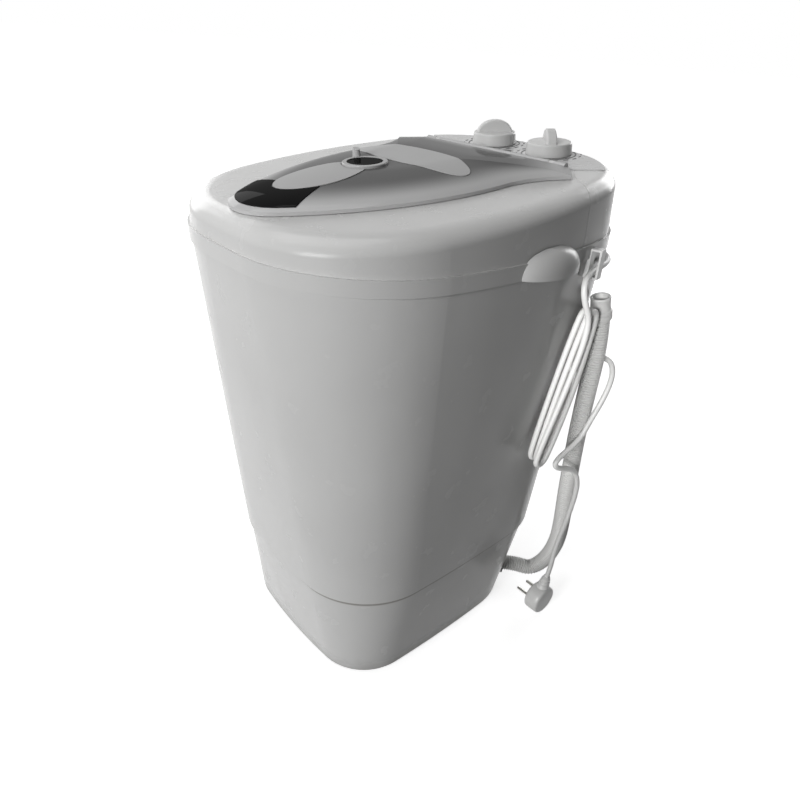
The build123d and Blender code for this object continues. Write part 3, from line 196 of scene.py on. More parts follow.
class ShellLooks(bpy.types.PropertyGroup):
    """Plastics of the cabinet, top and base."""

    shell: bpy.props.FloatVectorProperty(
        name="Shell",
        description="Colour of the moulded body, top and base",
        subtype="COLOR",
        default=(0.60, 0.60, 0.595),
    )
    gloss: bpy.props.FloatProperty(
        name="Roughness",
        description="Roughness of the shell's moulded skin",
        default=0.24,
        min=0.05,
        max=0.9,
    )
    flow: bpy.props.FloatProperty(
        name="Flow",
        description="Strength of the upright waves that moulding leaves in the body's wall",
        default=0.35,
        min=0.0,
        max=1.0,
    )


class LidLooks(bpy.types.PropertyGroup):
    """Tints of the lid and its trim."""

    skirt: bpy.props.FloatVectorProperty(
        name="Skirt",
        description="Colour of the lid's low edge",
        subtype="COLOR",
        default=(0.52, 0.52, 0.52),
    )
    smoke: bpy.props.FloatVectorProperty(
        name="Smoke",
        description="Colour of the lid's smoked crown",
        subtype="COLOR",
        default=(0.12, 0.12, 0.12),
    )
    pale: bpy.props.FloatVectorProperty(
        name="Pale",
        description="Colour of the lid's pale windows and handle ring",
        subtype="COLOR",
        default=(0.46, 0.46, 0.46),
    )
    dark: bpy.props.FloatVectorProperty(
        name="Dark",
        description="Colour of the crescent and the handle's inlay",
        subtype="COLOR",
        default=(0.006, 0.006, 0.006),
    )


class CordLooks(bpy.types.PropertyGroup):
    """Sizes and colours of the hose and cord."""

    cord_diameter: bpy.props.FloatProperty(
        name="Cord",
        description="Diameter of the power cord",
        subtype="DISTANCE",
        default=0.0064,
        min=0.003,
        max=0.012,
    )
    hose_diameter: bpy.props.FloatProperty(
        name="Hose",
        description="Diameter over the hose's ribs",
        subtype="DISTANCE",
        default=0.022,
        min=0.018,
        max=0.04,
    )
    rib_pitch: bpy.props.FloatProperty(
        name="Rib pitch",
        description="Distance from rib to rib",
        subtype="DISTANCE",
        default=0.0031,
        min=0.002,
        max=0.02,
    )
    hose: bpy.props.FloatVectorProperty(
        name="Hose colour",
        description="Colour of the hose and cuff",
        subtype="COLOR",
        default=(0.62, 0.62, 0.61),
    )
    cord: bpy.props.FloatVectorProperty(
        name="Cord colour",
        description="Colour of the cord and plug",
        subtype="COLOR",
        default=(0.70, 0.70, 0.69),
    )


class StageLooks(bpy.types.PropertyGroup):
    """Light and floor of the studio."""

    floor: bpy.props.FloatVectorProperty(
        name="Floor",
        description="Colour that the floor throws back on the machine",
        subtype="COLOR",
        default=(0.16, 0.16, 0.16),
    )
    white: bpy.props.FloatProperty(
        name="White",
        description="Plain white in the floor as the camera sees it, before light and shadow are added",
        default=0.76,
        min=0.0,
        max=1.0,
    )
    key: bpy.props.FloatProperty(
        name="Key",
        description="Power of the large soft light in front",
        subtype="POWER",
        default=57.0,
        min=0.0,
    )
    top: bpy.props.FloatProperty(
        name="Top",
        description="Power of the soft light above",
        subtype="POWER",
        default=22.0,
        min=0.0,
    )
    back: bpy.props.FloatProperty(
        name="Back",
        description="Power of the soft light behind; the one at the left takes a share of it",
        subtype="POWER",
        default=26.0,
        min=0.0,
    )
    hose: bpy.props.FloatProperty(
        name="Hose light",
        description="Power of the narrow light on the top of the hose",
        subtype="POWER",
        default=170.0,
        min=0.0,
    )
    fill: bpy.props.FloatProperty(
        name="Fill",
        description="Strength of the even light from all round",
        default=0.03,
        min=0.0,
    )


def joined(tree, kind, options=(), **inputs):
    """Add a node, set its options, and give each input its value or its link."""
    node = tree.nodes.new(kind)
    for option, value in dict(options).items():
        setattr(node, option, value)
    for name, value in inputs.items():
        socket = node.inputs[name.replace("_", " ")]
        if isinstance(value, bpy.types.NodeSocket):
            tree.links.new(value, socket)
        else:
            socket.default_value = value
    return node


def calculate(tree, operation, *values):
    """Add a maths node; each value is a number or a socket."""
    step = tree.nodes.new("ShaderNodeMath")
    step.operation = operation
    for socket, value in zip(step.inputs, values):
        if isinstance(value, bpy.types.NodeSocket):
            tree.links.new(value, socket)
        else:
            socket.default_value = value
    return step.outputs[0]


def ramped(tree, value, low, high, out_low=0.0, out_high=1.0):
    """Map a value between low and high smoothly onto out_low to out_high."""
    options = {"interpolation_type": "SMOOTHSTEP"}
    numbers = {"From_Min": low, "From_Max": high, "To_Min": out_low, "To_Max": out_high}
    return joined(tree, "ShaderNodeMapRange", options, Value=value, **numbers).outputs["Result"]


def cloudy(tree, stretch, scale, detail):
    """Noise on object coordinates in metres, with its own stretch along each axis."""
    place = tree.nodes.new("ShaderNodeTexCoord").outputs["Object"]
    sized = joined(tree, "ShaderNodeMapping", Vector=place, Scale=stretch).outputs[0]
    return joined(tree, "ShaderNodeTexNoise", Vector=sized, Scale=scale, Detail=detail).outputs["Fac"]


def mixed_colour(tree, factor, first, second):
    """Blend two colours."""
    options = {"data_type": "RGBA"}
    return joined(tree, "ShaderNodeMix", options, Factor=factor, A=first, B=second).outputs["Result"]


def place_axes(tree):
    """X, Y and Z of a point of the surface, in metres in the part's frame."""
    place = tree.nodes.new("ShaderNodeTexCoord").outputs["Object"]
    return joined(tree, "ShaderNodeSeparateXYZ", Vector=place).outputs


def facing_axes(tree):
    """X, Y and Z of the surface's normal."""
    normal = tree.nodes.new("ShaderNodeNewGeometry").outputs["Normal"]
    return joined(tree, "ShaderNodeSeparateXYZ", Vector=normal).outputs


def shader_group(name, inputs, outputs):
    """Start a node group; inputs are (name, kind, default), outputs are (name, kind)."""
    group = bpy.data.node_groups.new(name, "ShaderNodeTree")
    face = group.interface
    for label, kind, value in inputs:
        socket = face.new_socket(label, in_out="INPUT", socket_type="NodeSocket" + kind)
        socket.default_value = value
    for label, kind in outputs:
        face.new_socket(label, in_out="OUTPUT", socket_type="NodeSocket" + kind)
    given = group.nodes.new("NodeGroupInput").outputs
    result = group.nodes.new("NodeGroupOutput").inputs
    return group, given, result


def mask_group(name, amount, **others):
    """Start a node group that gives a mask; its inputs are an amount and others."""
    inputs = [(label, "Float", value) for label, value in others.items()]
    return shader_group(name, [*inputs, ("Amount", "Float", amount)], (("Mask", "Float"),))


def give_mask(group, given, result, mask):
    """Let a mask group give its mask times its amount."""
    group.links.new(calculate(group, "MULTIPLY", mask, given["Amount"]), result["Mask"])
    return group


# Stretches of noise: the same all ways, a grain of millimetres, and drawn out upwards
EVEN = (1, 1, 1)
GRAIN = (1000, 1000, 1000)
UPRIGHT = (1, 1, 0.12)


def moulded_group():
    """Node group: moulded plastic, faintly mottled, with grain and upright flow waves."""
    group, given, result = shader_group(
        "moulded_skin",
        (
            ("Colour", "Color", (0.6, 0.6, 0.6, 1)),
            ("Roughness", "Float", 0.3),
            ("Grain", "Float", 0.1),
            ("Grain size", "Float", 1.0),
            ("Flow", "Float", 0.0),
        ),
        (("Colour", "Color"), ("Roughness", "Float"), ("Normal", "Vector")),
    )
    patches = cloudy(group, EVEN, scale=7.0, detail=2.0)
    value = ramped(group, patches, 0.3, 0.7, 0.975, 1.025)
    tint = joined(group, "ShaderNodeHueSaturation", Color=given["Colour"], Value=value)
    group.links.new(tint.outputs[0], result["Colour"])
    uneven = ramped(group, cloudy(group, EVEN, scale=38.0, detail=3.0), 0.25, 0.75, -0.03, 0.04)
    group.links.new(calculate(group, "ADD", given["Roughness"], uneven), result["Roughness"])
    grain = cloudy(group, GRAIN, scale=given["Grain size"], detail=2.0)
    skin = joined(
        group, "ShaderNodeBump", Strength=given["Grain"], Distance=0.00012, Height=grain
    ).outputs[0]
    waves = cloudy(group, UPRIGHT, scale=24.0, detail=1.0)
    wavy = joined(
        group, "ShaderNodeBump", Strength=given["Flow"], Distance=0.0016, Height=waves, Normal=skin
    ).outputs[0]
    group.links.new(wavy, result["Normal"])
    return group


def dust_group():
    """Node group: mask of dust that has settled on faces that look up."""
    group, given, result = mask_group("settled_dust", 0.2)
    lying = ramped(group, facing_axes(group)["Z"], 0.35, 1.0)
    specks = ramped(group, cloudy(group, EVEN, scale=620.0, detail=3.0), 0.35, 0.85, 0.25, 1.0)
    drifts = ramped(group, cloudy(group, EVEN, scale=11.0, detail=4.0), 0.3, 0.75, 0.3, 1.0)
    settled = calculate(group, "MULTIPLY", calculate(group, "MULTIPLY", lying, specks), drifts)
    return give_mask(group, given, result, settled)


def scuff_group():
    """Node group: mask of fine scratches, in a few patches."""
    group, given, result = mask_group("fine_scuffs", 0.3)
    facing = facing_axes(group)
    streaks = 0.0
    for axis, stretch in (("X", (1500, 14, 20)), ("Y", (20, 1500, 14)), ("Z", (14, 20, 1500))):
        lines = ramped(group, cloudy(group, stretch, scale=1.0, detail=1.0), 0.68, 0.76)
        along = ramped(group, calculate(group, "ABSOLUTE", facing[axis]), 0.35, 0.6, 1.0, 0.0)
        streaks = calculate(group, "MAXIMUM", streaks, calculate(group, "MULTIPLY", lines, along))
    patches = ramped(group, cloudy(group, EVEN, scale=14.0, detail=2.0), 0.48, 0.66)
    return give_mask(group, given, result, calculate(group, "MULTIPLY", streaks, patches))


def soil_group():
    """Node group: mask of floor dirt that thins out upwards."""
    group, given, result = mask_group("floor_soil", 0.3, Height=0.03)
    height = place_axes(group)["Z"]
    smears = cloudy(group, EVEN, scale=55.0, detail=4.0)
    ragged = calculate(group, "MULTIPLY_ADD", smears, 0.03, height)
    share = calculate(group, "DIVIDE", ragged, given["Height"])
    return give_mask(group, given, result, ramped(group, share, 0.3, 1.4, 1.0, 0.0))


def seam_group():
    """Node group: mask of painted shade in the seam under a step, a band just below the step's height.
    """
    group, given, result = mask_group("seam_painted_shade", 0.6, Height=STEP_HEIGHT, Width=SEAM_WIDTH)
    below = calculate(group, "SUBTRACT", given["Height"], place_axes(group)["Z"])
    share = calculate(group, "DIVIDE", below, given["Width"])
    return give_mask(group, given, result, ramped(group, share, 0.72, 1.0, 1.0, 0.0))


EFFECTS = {
    "moulded_skin": moulded_group,
    "settled_dust": dust_group,
    "fine_scuffs": scuff_group,
    "floor_soil": soil_group,
    "seam_painted_shade": seam_group,
}
DUST_COLOUR = (0.46, 0.45, 0.43, 1)
# Dark tone of floor dirt, also used for the painted shade in the seam under the body's step
SOIL_AND_SHADE_COLOUR = (0.17, 0.16, 0.14, 1)


def effect(tree, name, **inputs):
    """Place one of the shared node groups, made when first used."""
    group = bpy.data.node_groups.get(name) or EFFECTS[name]()
    return joined(tree, "ShaderNodeGroup", {"node_tree": group}, **inputs).outputs


def moulded(
    name,
    colour,
    roughness=0.3,
    grain=0.2,
    size=1.0,
    flow=0.0,
    dust=0.1,
    scuffs=0.0,
    soil=0.0,
    seam=0.0,
    **fixed,
):
    """Make a material from the shared effects; fixed values go to the shader's own sockets."""
    material = bpy.data.materials.new(name)
    material.use_nodes = True
    tree = material.node_tree
    shader = tree.nodes["Principled BSDF"]
    finish = {"Roughness": roughness, "Grain": grain, "Grain_size": size, "Flow": flow}
    skin = effect(tree, "moulded_skin", Colour=(*colour, 1), **finish)
    shade, rough = skin["Colour"], skin["Roughness"]
    layers = (
        ("settled_dust", dust, DUST_COLOUR, 0.5),
        ("fine_scuffs", scuffs, None, 0.4),
        ("floor_soil", soil, SOIL_AND_SHADE_COLOUR, 0.5),
        # Seam layer: painted shade just under the body's step, which also dulls the surface a little
        ("seam_painted_shade", seam, SOIL_AND_SHADE_COLOUR, 0.3),
    )
    for layer, amount, tone, dulling in layers:
        if amount:
            mask = effect(tree, layer, Amount=amount)["Mask"]
            if tone:
                shade = mixed_colour(tree, mask, shade, tone)
            rough = calculate(tree, "MULTIPLY_ADD", mask, dulling, rough)
    tree.links.new(shade, shader.inputs["Base Color"])
    tree.links.new(rough, shader.inputs["Roughness"])
    tree.links.new(skin["Normal"], shader.inputs["Normal"])
    for socket, value in fixed.items():
        shader.inputs[socket.replace("_", " ")].default_value = value
    return material


def give(material, *names):
    """Put a material on CAD nodes."""
    for name in names:
        mesh = nodes[name].data
        mesh.materials.clear()
        mesh.materials.append(material)


def linked(name, data):
    """Make an object from its data and link it into the scene."""
    made = bpy.data.objects.new(name, data)
    bpy.context.scene.collection.objects.link(made)
    return made


def smooth_curve(name, points):
    """Make a curve object with one NURBS spline through control points, its ends on the ends."""
    data = bpy.data.curves.new(name, "CURVE")
    data.dimensions = "3D"
    data.resolution_u = 8
    spline = data.splines.new("NURBS")
    spline.points.add(len(points) - 1)
    for point, place in zip(spline.points, points):
        point.co = (*place, 1)
    spline.order_u = 3
    spline.use_endpoint_u = True
    return linked(name, data)


def evaluated_mesh(curve):
    """The mesh that Blender makes of a curve, with its modifiers."""
    bpy.context.view_layer.update()
    shown = curve.evaluated_get(bpy.context.evaluated_depsgraph_get())
    return bpy.data.meshes.new_from_object(shown)


def spline_points(curve):
    """Points along a bare curve, as Blender's own mesh of it gives them."""
    mesh = evaluated_mesh(curve)
    places = [tuple(vertex.co) for vertex in mesh.vertices]
    bpy.data.meshes.remove(mesh)
    return places


def new_object(name, mesh, material):
    """Link a finished mesh as an object at the origin."""
    mesh.materials.clear()
    mesh.materials.append(material)
    return linked(name, mesh)


def turned(name, outline, origin, along, material, steps=48):
    """Revolve (radius, height) points about an axis into a closed mesh.

    A radius of 0 makes a pole; without poles, the last ring joins the first.
    """
    axis = Vector(along).normalized()
    turn = axis.to_track_quat("Z", "Y").to_matrix().to_4x4()
    form = bmesh.new()
    rings = []
    for radius, height in outline:
        if radius == 0:
            rings.append([form.verts.new((0, 0, height))])
            continue
        ring = []
        for k in range(steps):
            angle = 2 * math.pi * k / steps
            ring.append(form.verts.new((radius * math.cos(angle), radius * math.sin(angle), height)))
        rings.append(ring)
    bands = list(zip(rings, rings[1:]))
    if len(rings[0]) > 1 and len(rings[-1]) > 1:
        bands.append((rings[-1], rings[0]))
    for low, high in bands:
        for k in range(steps):
            after = (k + 1) % steps
            edge = [low[k % len(low)], low[after % len(low)]]
            opposite = [high[after % len(high)], high[k % len(high)]]
            form.faces.new(list(dict.fromkeys(edge + opposite)))
    bmesh.ops.recalc_face_normals(form, faces=form.faces)
    form.transform(Matrix.Translation(origin) @ turn)
    mesh = bpy.data.meshes.new(name)
    form.to_mesh(mesh)
    form.free()
    mesh.shade_smooth()
    return new_object(name, mesh, material)


def ribbed_tube_tree(material):
    """Geometry nodes: the ribbed outside of a hose, and its bore, along a curve."""
    tree = bpy.data.node_groups.new("ribbed_tube", "GeometryNodeTree")
    face = tree.interface
    face.new_socket("Geometry", in_out="INPUT", socket_type="NodeSocketGeometry")
    for name in ("Radius", "Pitch"):
        face.new_socket(name, in_out="INPUT", socket_type="NodeSocketFloat")
    face.new_socket("Geometry", in_out="OUTPUT", socket_type="NodeSocketGeometry")
    node, link = tree.nodes.new, tree.links.new
    given, result = node("NodeGroupInput"), node("NodeGroupOutput")

    resampled = node("GeometryNodeResampleCurve")
    resampled.mode = "LENGTH"
    link(given.outputs["Geometry"], resampled.inputs["Curve"])
    link(calculate(tree, "DIVIDE", given.outputs["Pitch"], RIB_SAMPLES), resampled.inputs["Length"])
    along = node("GeometryNodeSplineParameter")
    turns = calculate(tree, "DIVIDE", along.outputs["Length"], given.outputs["Pitch"])
    wave = calculate(tree, "COSINE", calculate(tree, "MULTIPLY", turns, 2 * math.pi))
    crest = calculate(tree, "MULTIPLY_ADD", wave, 0.5, 0.5)
    squared = calculate(tree, "POWER", crest, RIB_SQUARING)
    depth = calculate(tree, "MULTIPLY", squared, HOSE_GROOVE)
    outside = node("GeometryNodeCurveToMesh")
    link(calculate(tree, "SUBTRACT", given.outputs["Radius"], depth), outside.inputs["Scale"])
    inside = node("GeometryNodeCurveToMesh")
    inside.inputs["Scale"].default_value = HOSE_BORE
    profile = node("GeometryNodeCurvePrimitiveCircle")
    profile.inputs["Resolution"].default_value = HOSE_SIDES
    profile.inputs["Radius"].default_value = 1.0
    for sweep in (outside, inside):
        link(resampled.outputs["Curve"], sweep.inputs["Curve"])
        link(profile.outputs["Curve"], sweep.inputs["Profile Curve"])
    flipped = node("GeometryNodeFlipFaces")
    link(inside.outputs["Mesh"], flipped.inputs["Mesh"])
    both = node("GeometryNodeJoinGeometry")
    link(outside.outputs["Mesh"], both.inputs["Geometry"])
    link(flipped.outputs["Mesh"], both.inputs["Geometry"])
    dressed = node("GeometryNodeSetMaterial")
    dressed.inputs["Material"].default_value = material
    link(both.outputs["Geometry"], dressed.inputs["Geometry"])
    link(dressed.outputs["Geometry"], result.inputs["Geometry"])
    return tree


def ribbed_mesh(line, material, looks):
    """Make the hose's mesh along a bare curve, and close its wall at both ends."""
    tree = ribbed_tube_tree(material)
    ribs = line.modifiers.new("ribs", "NODES")
    ribs.node_group = tree
    inputs = [item for item in tree.interface.items_tree if item.in_out == "INPUT"]
    sockets = {item.name: item.identifier for item in inputs}
    ribs[sockets["Radius"]] = looks.hose_diameter / 2
    ribs[sockets["Pitch"]] = looks.rib_pitch
    mesh = evaluated_mesh(line)
    form = bmesh.new()
    form.from_mesh(mesh)
    outlet = Vector(HOSE_POINTS[0])
    rims = [edge for edge in form.edges if edge.is_boundary]
    first = [edge for edge in rims if (edge.verts[0].co - outlet).length < looks.hose_diameter]
    bmesh.ops.bridge_loops(form, edges=first)
    last = [edge for edge in form.edges if edge.is_boundary]
    bmesh.ops.bridge_loops(form, edges=last)
    form.to_mesh(mesh)
    form.free()
    mesh.shade_smooth()
    return mesh


class WASHER_OT_shell(bpy.types.Operator):
    """Finish the body, base, collar, cover, housing, clip, outlet, feet and bottom plate."""

    bl_idname = "washer.shell"
    bl_label = "Finish shell"

    def execute(self, context):
        looks = context.scene.washer_shell
        plain = {"roughness": looks.gloss, "grain": 0.0, "Specular_IOR_Level": 0.22}
        body = moulded("body_white", looks.shell, flow=looks.flow, dust=0.0, **plain)
        give(body, "outer_body")
        cover = moulded("cover_white", looks.shell, flow=looks.flow / 3, dust=0.05, **plain)
        give(cover, "rim_collar", "top_cover", "control_housing", "hose_clip", "outlet_socket")
        # The base gets floor dirt, and painted shade in the seam under the body's step
        soil_and_seam_shade = {"dust": 0.0, "soil": 0.35, "seam": 0.7}
        give(moulded("base_white", looks.shell, flow=looks.flow / 2, **soil_and_seam_shade, **plain), "base_housing")
        rubber = moulded(
            "foot_rubber", (0.02, 0.02, 0.02), roughness=0.75, grain=0.8, size=1.6, soil=0.5
        )
        give(rubber, "rubber_feet")
        plate = moulded("plate_black", (0.03, 0.03, 0.03), roughness=0.5, grain=0.5, soil=0.4)
        give(plate, "base_plate")
        return {"FINISHED"}


def fade_upwards(tree, skirt, smoke):
    """Feed a material's moulded skin a colour that turns from skirt to smoke above the deck."""
    place = place_axes(tree)
    deck = calculate(tree, "MULTIPLY_ADD", place["Y"], DECK_SLOPE, DECK_HEIGHT)
    height = calculate(tree, "SUBTRACT", place["Z"], deck)
    crown = ramped(tree, height, SKIRT_TOP, CROWN_START)
    groups = [node for node in tree.nodes if node.type == "GROUP"]
    skin = next(node for node in groups if node.node_tree.name == "moulded_skin")
    faded = mixed_colour(tree, crown, (*skirt, 1), (*smoke, 1))
    tree.links.new(faded, skin.inputs["Colour"])


class WASHER_OT_lid(bpy.types.Operator):
    """Finish the lid, its windows, crescent and handle."""

    bl_idname = "washer.lid"
    bl_label = "Finish lid"

    def execute(self, context):
        looks = context.scene.washer_lid
        thin_gloss = {"Specular_IOR_Level": 0.0, "Coat_Weight": 0.25, "Coat_Roughness": 0.06}
        clear = {"grain": 0.06, "scuffs": 0.5, **thin_gloss}
        lid = moulded("lid_smoke", looks.smoke, roughness=0.14, flow=0.12, dust=0.04, **clear)
        fade_upwards(lid.node_tree, looks.skirt, looks.smoke)
        give(lid, "lid_shell")
        pale = moulded("lid_pale", looks.pale, roughness=0.2, dust=0.03, **clear)
        give(pale, "lid_window", "handle_ring")
        faint_gloss = {"Specular_IOR_Level": 0.0, "Coat_Weight": 0.07}
        dark = moulded("lid_dark", looks.dark, roughness=0.14, grain=0.04, dust=0.0, **faint_gloss)
        give(dark, "lid_crescent", "handle_inlay")
        return {"FINISHED"}


class WASHER_OT_controls(bpy.types.Operator):
    """Finish the panel, dials, lens and knobs."""

    bl_idname = "washer.controls"
    bl_label = "Finish controls"

    def execute(self, context):
        looks = context.scene.washer_shell
        film = moulded(
            "panel_film",
            (0.54, 0.54, 0.54),
            roughness=0.26,
            grain=0.1,
            size=0.6,
            dust=0.05,
            scuffs=0.5,
            Specular_IOR_Level=0.15,
        )
        give(film, "panel_overlay")
        ink = moulded(
            "dial_print", (0.012, 0.012, 0.012), roughness=0.45, grain=0.2, size=2.0, dust=0.0
        )
        give(ink, "dial_scales")
        shine = {"roughness": 0.08, "Coat_Weight": 1.0}
        lens = moulded("lens_dark", (0.006, 0.004, 0.004), grain=0.0, dust=0.02, **shine)
        give(lens, "indicator_lens")
        knob = moulded(
            "knob_white",
            looks.shell,
            roughness=0.34,
            grain=0.3,
            size=1.3,
            dust=0.06,
            scuffs=0.5,
            Specular_IOR_Level=0.25,
        )
        give(knob, "timer_knob", "selector_knob")
        return {"FINISHED"}


# Finishes of the works: material, colour, finish, and the CAD nodes that take it
WORKS = (
    (
        "tub_white",
        (0.62, 0.62, 0.61),
        {"roughness": 0.3, "grain": 0.2, "flow": 0.15, "dust": 0.05, "scuffs": 0.4},
        ("wash_tub",),
    ),
    (
        "pulsator_grey",
        (0.5, 0.5, 0.51),
        {"roughness": 0.35, "grain": 0.2, "dust": 0.05, "scuffs": 0.5},
        ("pulsator",),
    ),
    (
        "steel_turned",
        (0.6, 0.6, 0.6),
        {"roughness": 0.25, "grain": 0.5, "size": 2.0, "dust": 0.0, "scuffs": 0.6, "Metallic": 1.0},
        (
            "drive_shaft",
            "motor_shaft",
            "timer_shaft",
            "selector_shaft",
            "hinge_pins",
            "pulsator_screw",
        ),
    ),
    (
        "steel_plated",
        (0.55, 0.55, 0.53),
        {"roughness": 0.4, "grain": 0.6, "size": 0.7, "dust": 0.15, "scuffs": 0.4, "Metallic": 1.0},
        ("motor_bracket", "bracket_screws", "base_screws", "cover_screws"),
    ),
    (
        "motor_paint",
        (0.03, 0.03, 0.035),
        {"roughness": 0.45, "grain": 0.5, "dust": 0.3},
        ("motor_case", "capacitor"),
    ),
    (
        "bush_bronze",
        (0.45, 0.30, 0.14),
        {"roughness": 0.4, "grain": 0.6, "size": 2.0, "dust": 0.0, "Metallic": 1.0},
        ("bearings",),
    ),
    (
        "inner_plastic",
        (0.16, 0.16, 0.16),
        {"roughness": 0.5, "grain": 0.5, "dust": 0.2},
        (
            "bearing_housing",
            "driven_pulley",
            "motor_pulley",
            "drain_elbow",
            "timer_unit",
            "selector_switch",
        ),
    ),
    (
        "belt_rubber",
        (0.02, 0.02, 0.02),
        {"roughness": 0.7, "grain": 0.8, "size": 1.5, "dust": 0.2},
        ("drive_belt", "shaft_seal"),
    ),
)


class WASHER_OT_works(bpy.types.Operator):
    """Finish the tub, drive, drain, switches and fasteners."""

    bl_idname = "washer.works"
    bl_label = "Finish works"

    def execute(self, context):
        for name, colour, finish, pieces in WORKS:
            give(moulded(name, colour, **finish), *pieces)
        return {"FINISHED"}


def cuff_outline(length):
    """Radius and height of the cuff: two bands at the hose, a plain tube, a lip and the bore."""
    return (
        (HOSE_BORE, 0.0),
        (CUFF_BAND - 0.0011, 0.0),
        (CUFF_BAND - 0.0003, 0.0003),
        (CUFF_BAND, 0.0010),
        (CUFF_BAND, 0.0044),
        (CUFF_BAND - 0.0004, 0.0049),
        (CUFF_BAND - 0.0004, 0.0053),
        (CUFF_BAND, 0.0058),
        (CUFF_BAND, 0.0092),
        (CUFF_BAND - 0.0003, 0.0098),
        (CUFF_TUBE + 0.0004, 0.0101),
        (CUFF_TUBE, 0.0106),
        (CUFF_TUBE, length - 0.0030),
        (CUFF_LIP, length - 0.0024),
        (CUFF_LIP, length - 0.0008),
        (CUFF_LIP - 0.00055, length - 0.0001),
        (CUFF_LIP - 0.00125, length),
        (HOSE_BORE + 0.0006, length - 0.0002),
        (HOSE_BORE, length - 0.0010),
    )


class WASHER_OT_hose(bpy.types.Operator):
    """Make the ribbed drain hose and its cuff."""

    bl_idname = "washer.hose"
    bl_label = "Make hose"

    def execute(self, context):
        looks = context.scene.washer_cords
        wear = {"dust": 0.15, "scuffs": 0.5, "soil": 0.2}
        material = moulded("hose_white", looks.hose, roughness=0.45, grain=0.4, size=0.8, **wear)
        line = smooth_curve("drain_hose_line", HOSE_POINTS)
        path = spline_points(line)
        hose = new_object("ribbed_hose", ribbed_mesh(line, material, looks), material)
        bpy.data.objects.remove(line)
        end = Vector(HOSE_POINTS[-1])
        way = Vector(CUFF_END) - end
        cuff = turned("hose_end_cuff", cuff_outline(way.length), end, way, material)
        for piece, node in ((hose, "drain_hose"), (cuff, "hose_cuff")):
            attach(piece, "cabinet")
            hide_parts(node)
        return {"FINISHED"}


def hank_line():
    """Points of the hank: long loose turns between its top and bottom folds."""
    middle = (HANK_TOP + HANK_BOTTOM) / 2
    reach = (HANK_BOTTOM - HANK_TOP).length / 2
    down = (HANK_BOTTOM - HANK_TOP).normalized()
    across = Vector((0, -down.z, down.y))
    fold = reach - HANK_FOLD
    # One turn: how many turns on, how far along the hank and how far across it
    round_points = (
        (0.04, -fold, -HANK_HALF),
        (0.25, 0, -HANK_HALF - HANK_BULGE),
        (0.46, fold, -HANK_HALF),
        (0.49, reach, -HANK_HALF / 2),
        (0.51, reach, HANK_HALF / 2),
        (0.54, fold, HANK_HALF),
        (0.75, 0, HANK_HALF + HANK_BULGE),
        (0.96, -fold, HANK_HALF),
        (0.99, -reach, HANK_HALF / 2),
        (1.01, -reach, -HANK_HALF / 2),
    )
    places = []
    for k in range(HANK_TURNS + 1):
        # After the whole turns, the cord leaves the hank past one more low fold
        points = round_points if k < HANK_TURNS else round_points[:6]
        places += [(k + share, along, side) for share, along, side in points]
    line = []
    for turns, along, side in places:
        fan = HANK_FAN * max(0, 1 - turns) * max(0, along) / reach
        centre = Vector((HANK_OUTER - HANK_STEP * turns, middle.y, middle.z))
        line.append(tuple(centre + down * along + across * (side - fan)))
    return line


# Plug body: radius and height of a thick disc with rounded edges
PLUG_OUTLINE = (
    (0.0, -PLUG_HALF),
    (PLUG_RADIUS - 0.0035, -PLUG_HALF),
    (PLUG_RADIUS - 0.0012, -0.0102),
    (PLUG_RADIUS - 0.0003, -0.0085),
    (PLUG_RADIUS, -0.0060),
    (PLUG_RADIUS, 0.0065),
    (PLUG_RADIUS - 0.0008, 0.0088),
    (PLUG_RADIUS - 0.0028, 0.0103),
    (PLUG_RADIUS - 0.0035, 0.0108),
    (PLUG_RADIUS - 0.0040, PLUG_HALF),
    (0.0, PLUG_HALF),
)


def neck_outline(length):
    """Radius and height of the plug's neck: a cone, then two rings round the cord."""
    return (
        (0.0, 0.010),
        (0.0088, 0.0110),
        (0.0086, 0.0190),
        (0.0074, 0.0250),
        (0.0066, 0.0252),
        (0.0064, 0.0270),
        (0.0070, 0.0272),
        (0.0068, 0.0292),
        (0.0058, 0.0294),
        (0.0057, 0.0312),
        (0.0062, 0.0314),
        (0.0060, 0.0334),
        (0.0050, 0.0336),
        (0.0046, length),
        (0.0, length),
    )


class WASHER_OT_cord(bpy.types.Operator):
    """Make the power cord and its plug."""

    bl_idname = "washer.cord"
    bl_label = "Make cord"

    def execute(self, context):
        looks = context.scene.washer_cords
        wear = {"dust": 0.08, "scuffs": 0.5}
        material = moulded("cord_white", looks.cord, roughness=0.42, grain=0.35, size=1.2, **wear)
        plug_plastic = moulded(
            "plug_white", looks.cord, roughness=0.32, grain=0.25, soil=0.15, **wear
        )
        nickel = {"roughness": 0.2, "grain": 0.2, "Metallic": 1.0}
        pin_metal = moulded("pin_nickel", (0.62, 0.61, 0.58), dust=0.0, scuffs=0.5, **nickel)
        give(material, "cord_grommet")
        give(pin_metal, "plug_pins")
        cord = smooth_curve("power_cord", [*LEAD_POINTS, *hank_line(), *TAIL_POINTS])
        cord.data.bevel_depth = looks.cord_diameter / 2
        cord.data.bevel_resolution = 3
        cord.data.use_fill_caps = True
        cord.data.materials.append(material)
        neck = NECK_END - PLUG_PLACE
        plug = turned("plug_body", PLUG_OUTLINE, PLUG_PLACE, (-1, 0, 0), plug_plastic, 64)
        sleeve = neck_outline(neck.length)
        collar = turned("plug_neck", sleeve, PLUG_PLACE, neck, plug_plastic, 40)
        for piece in (cord, plug, collar):
            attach(piece, "cabinet")
        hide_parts("power_cord_lead", "power_cord_hank", "power_cord_tail")
        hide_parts("power_plug")
        return {"FINISHED"}


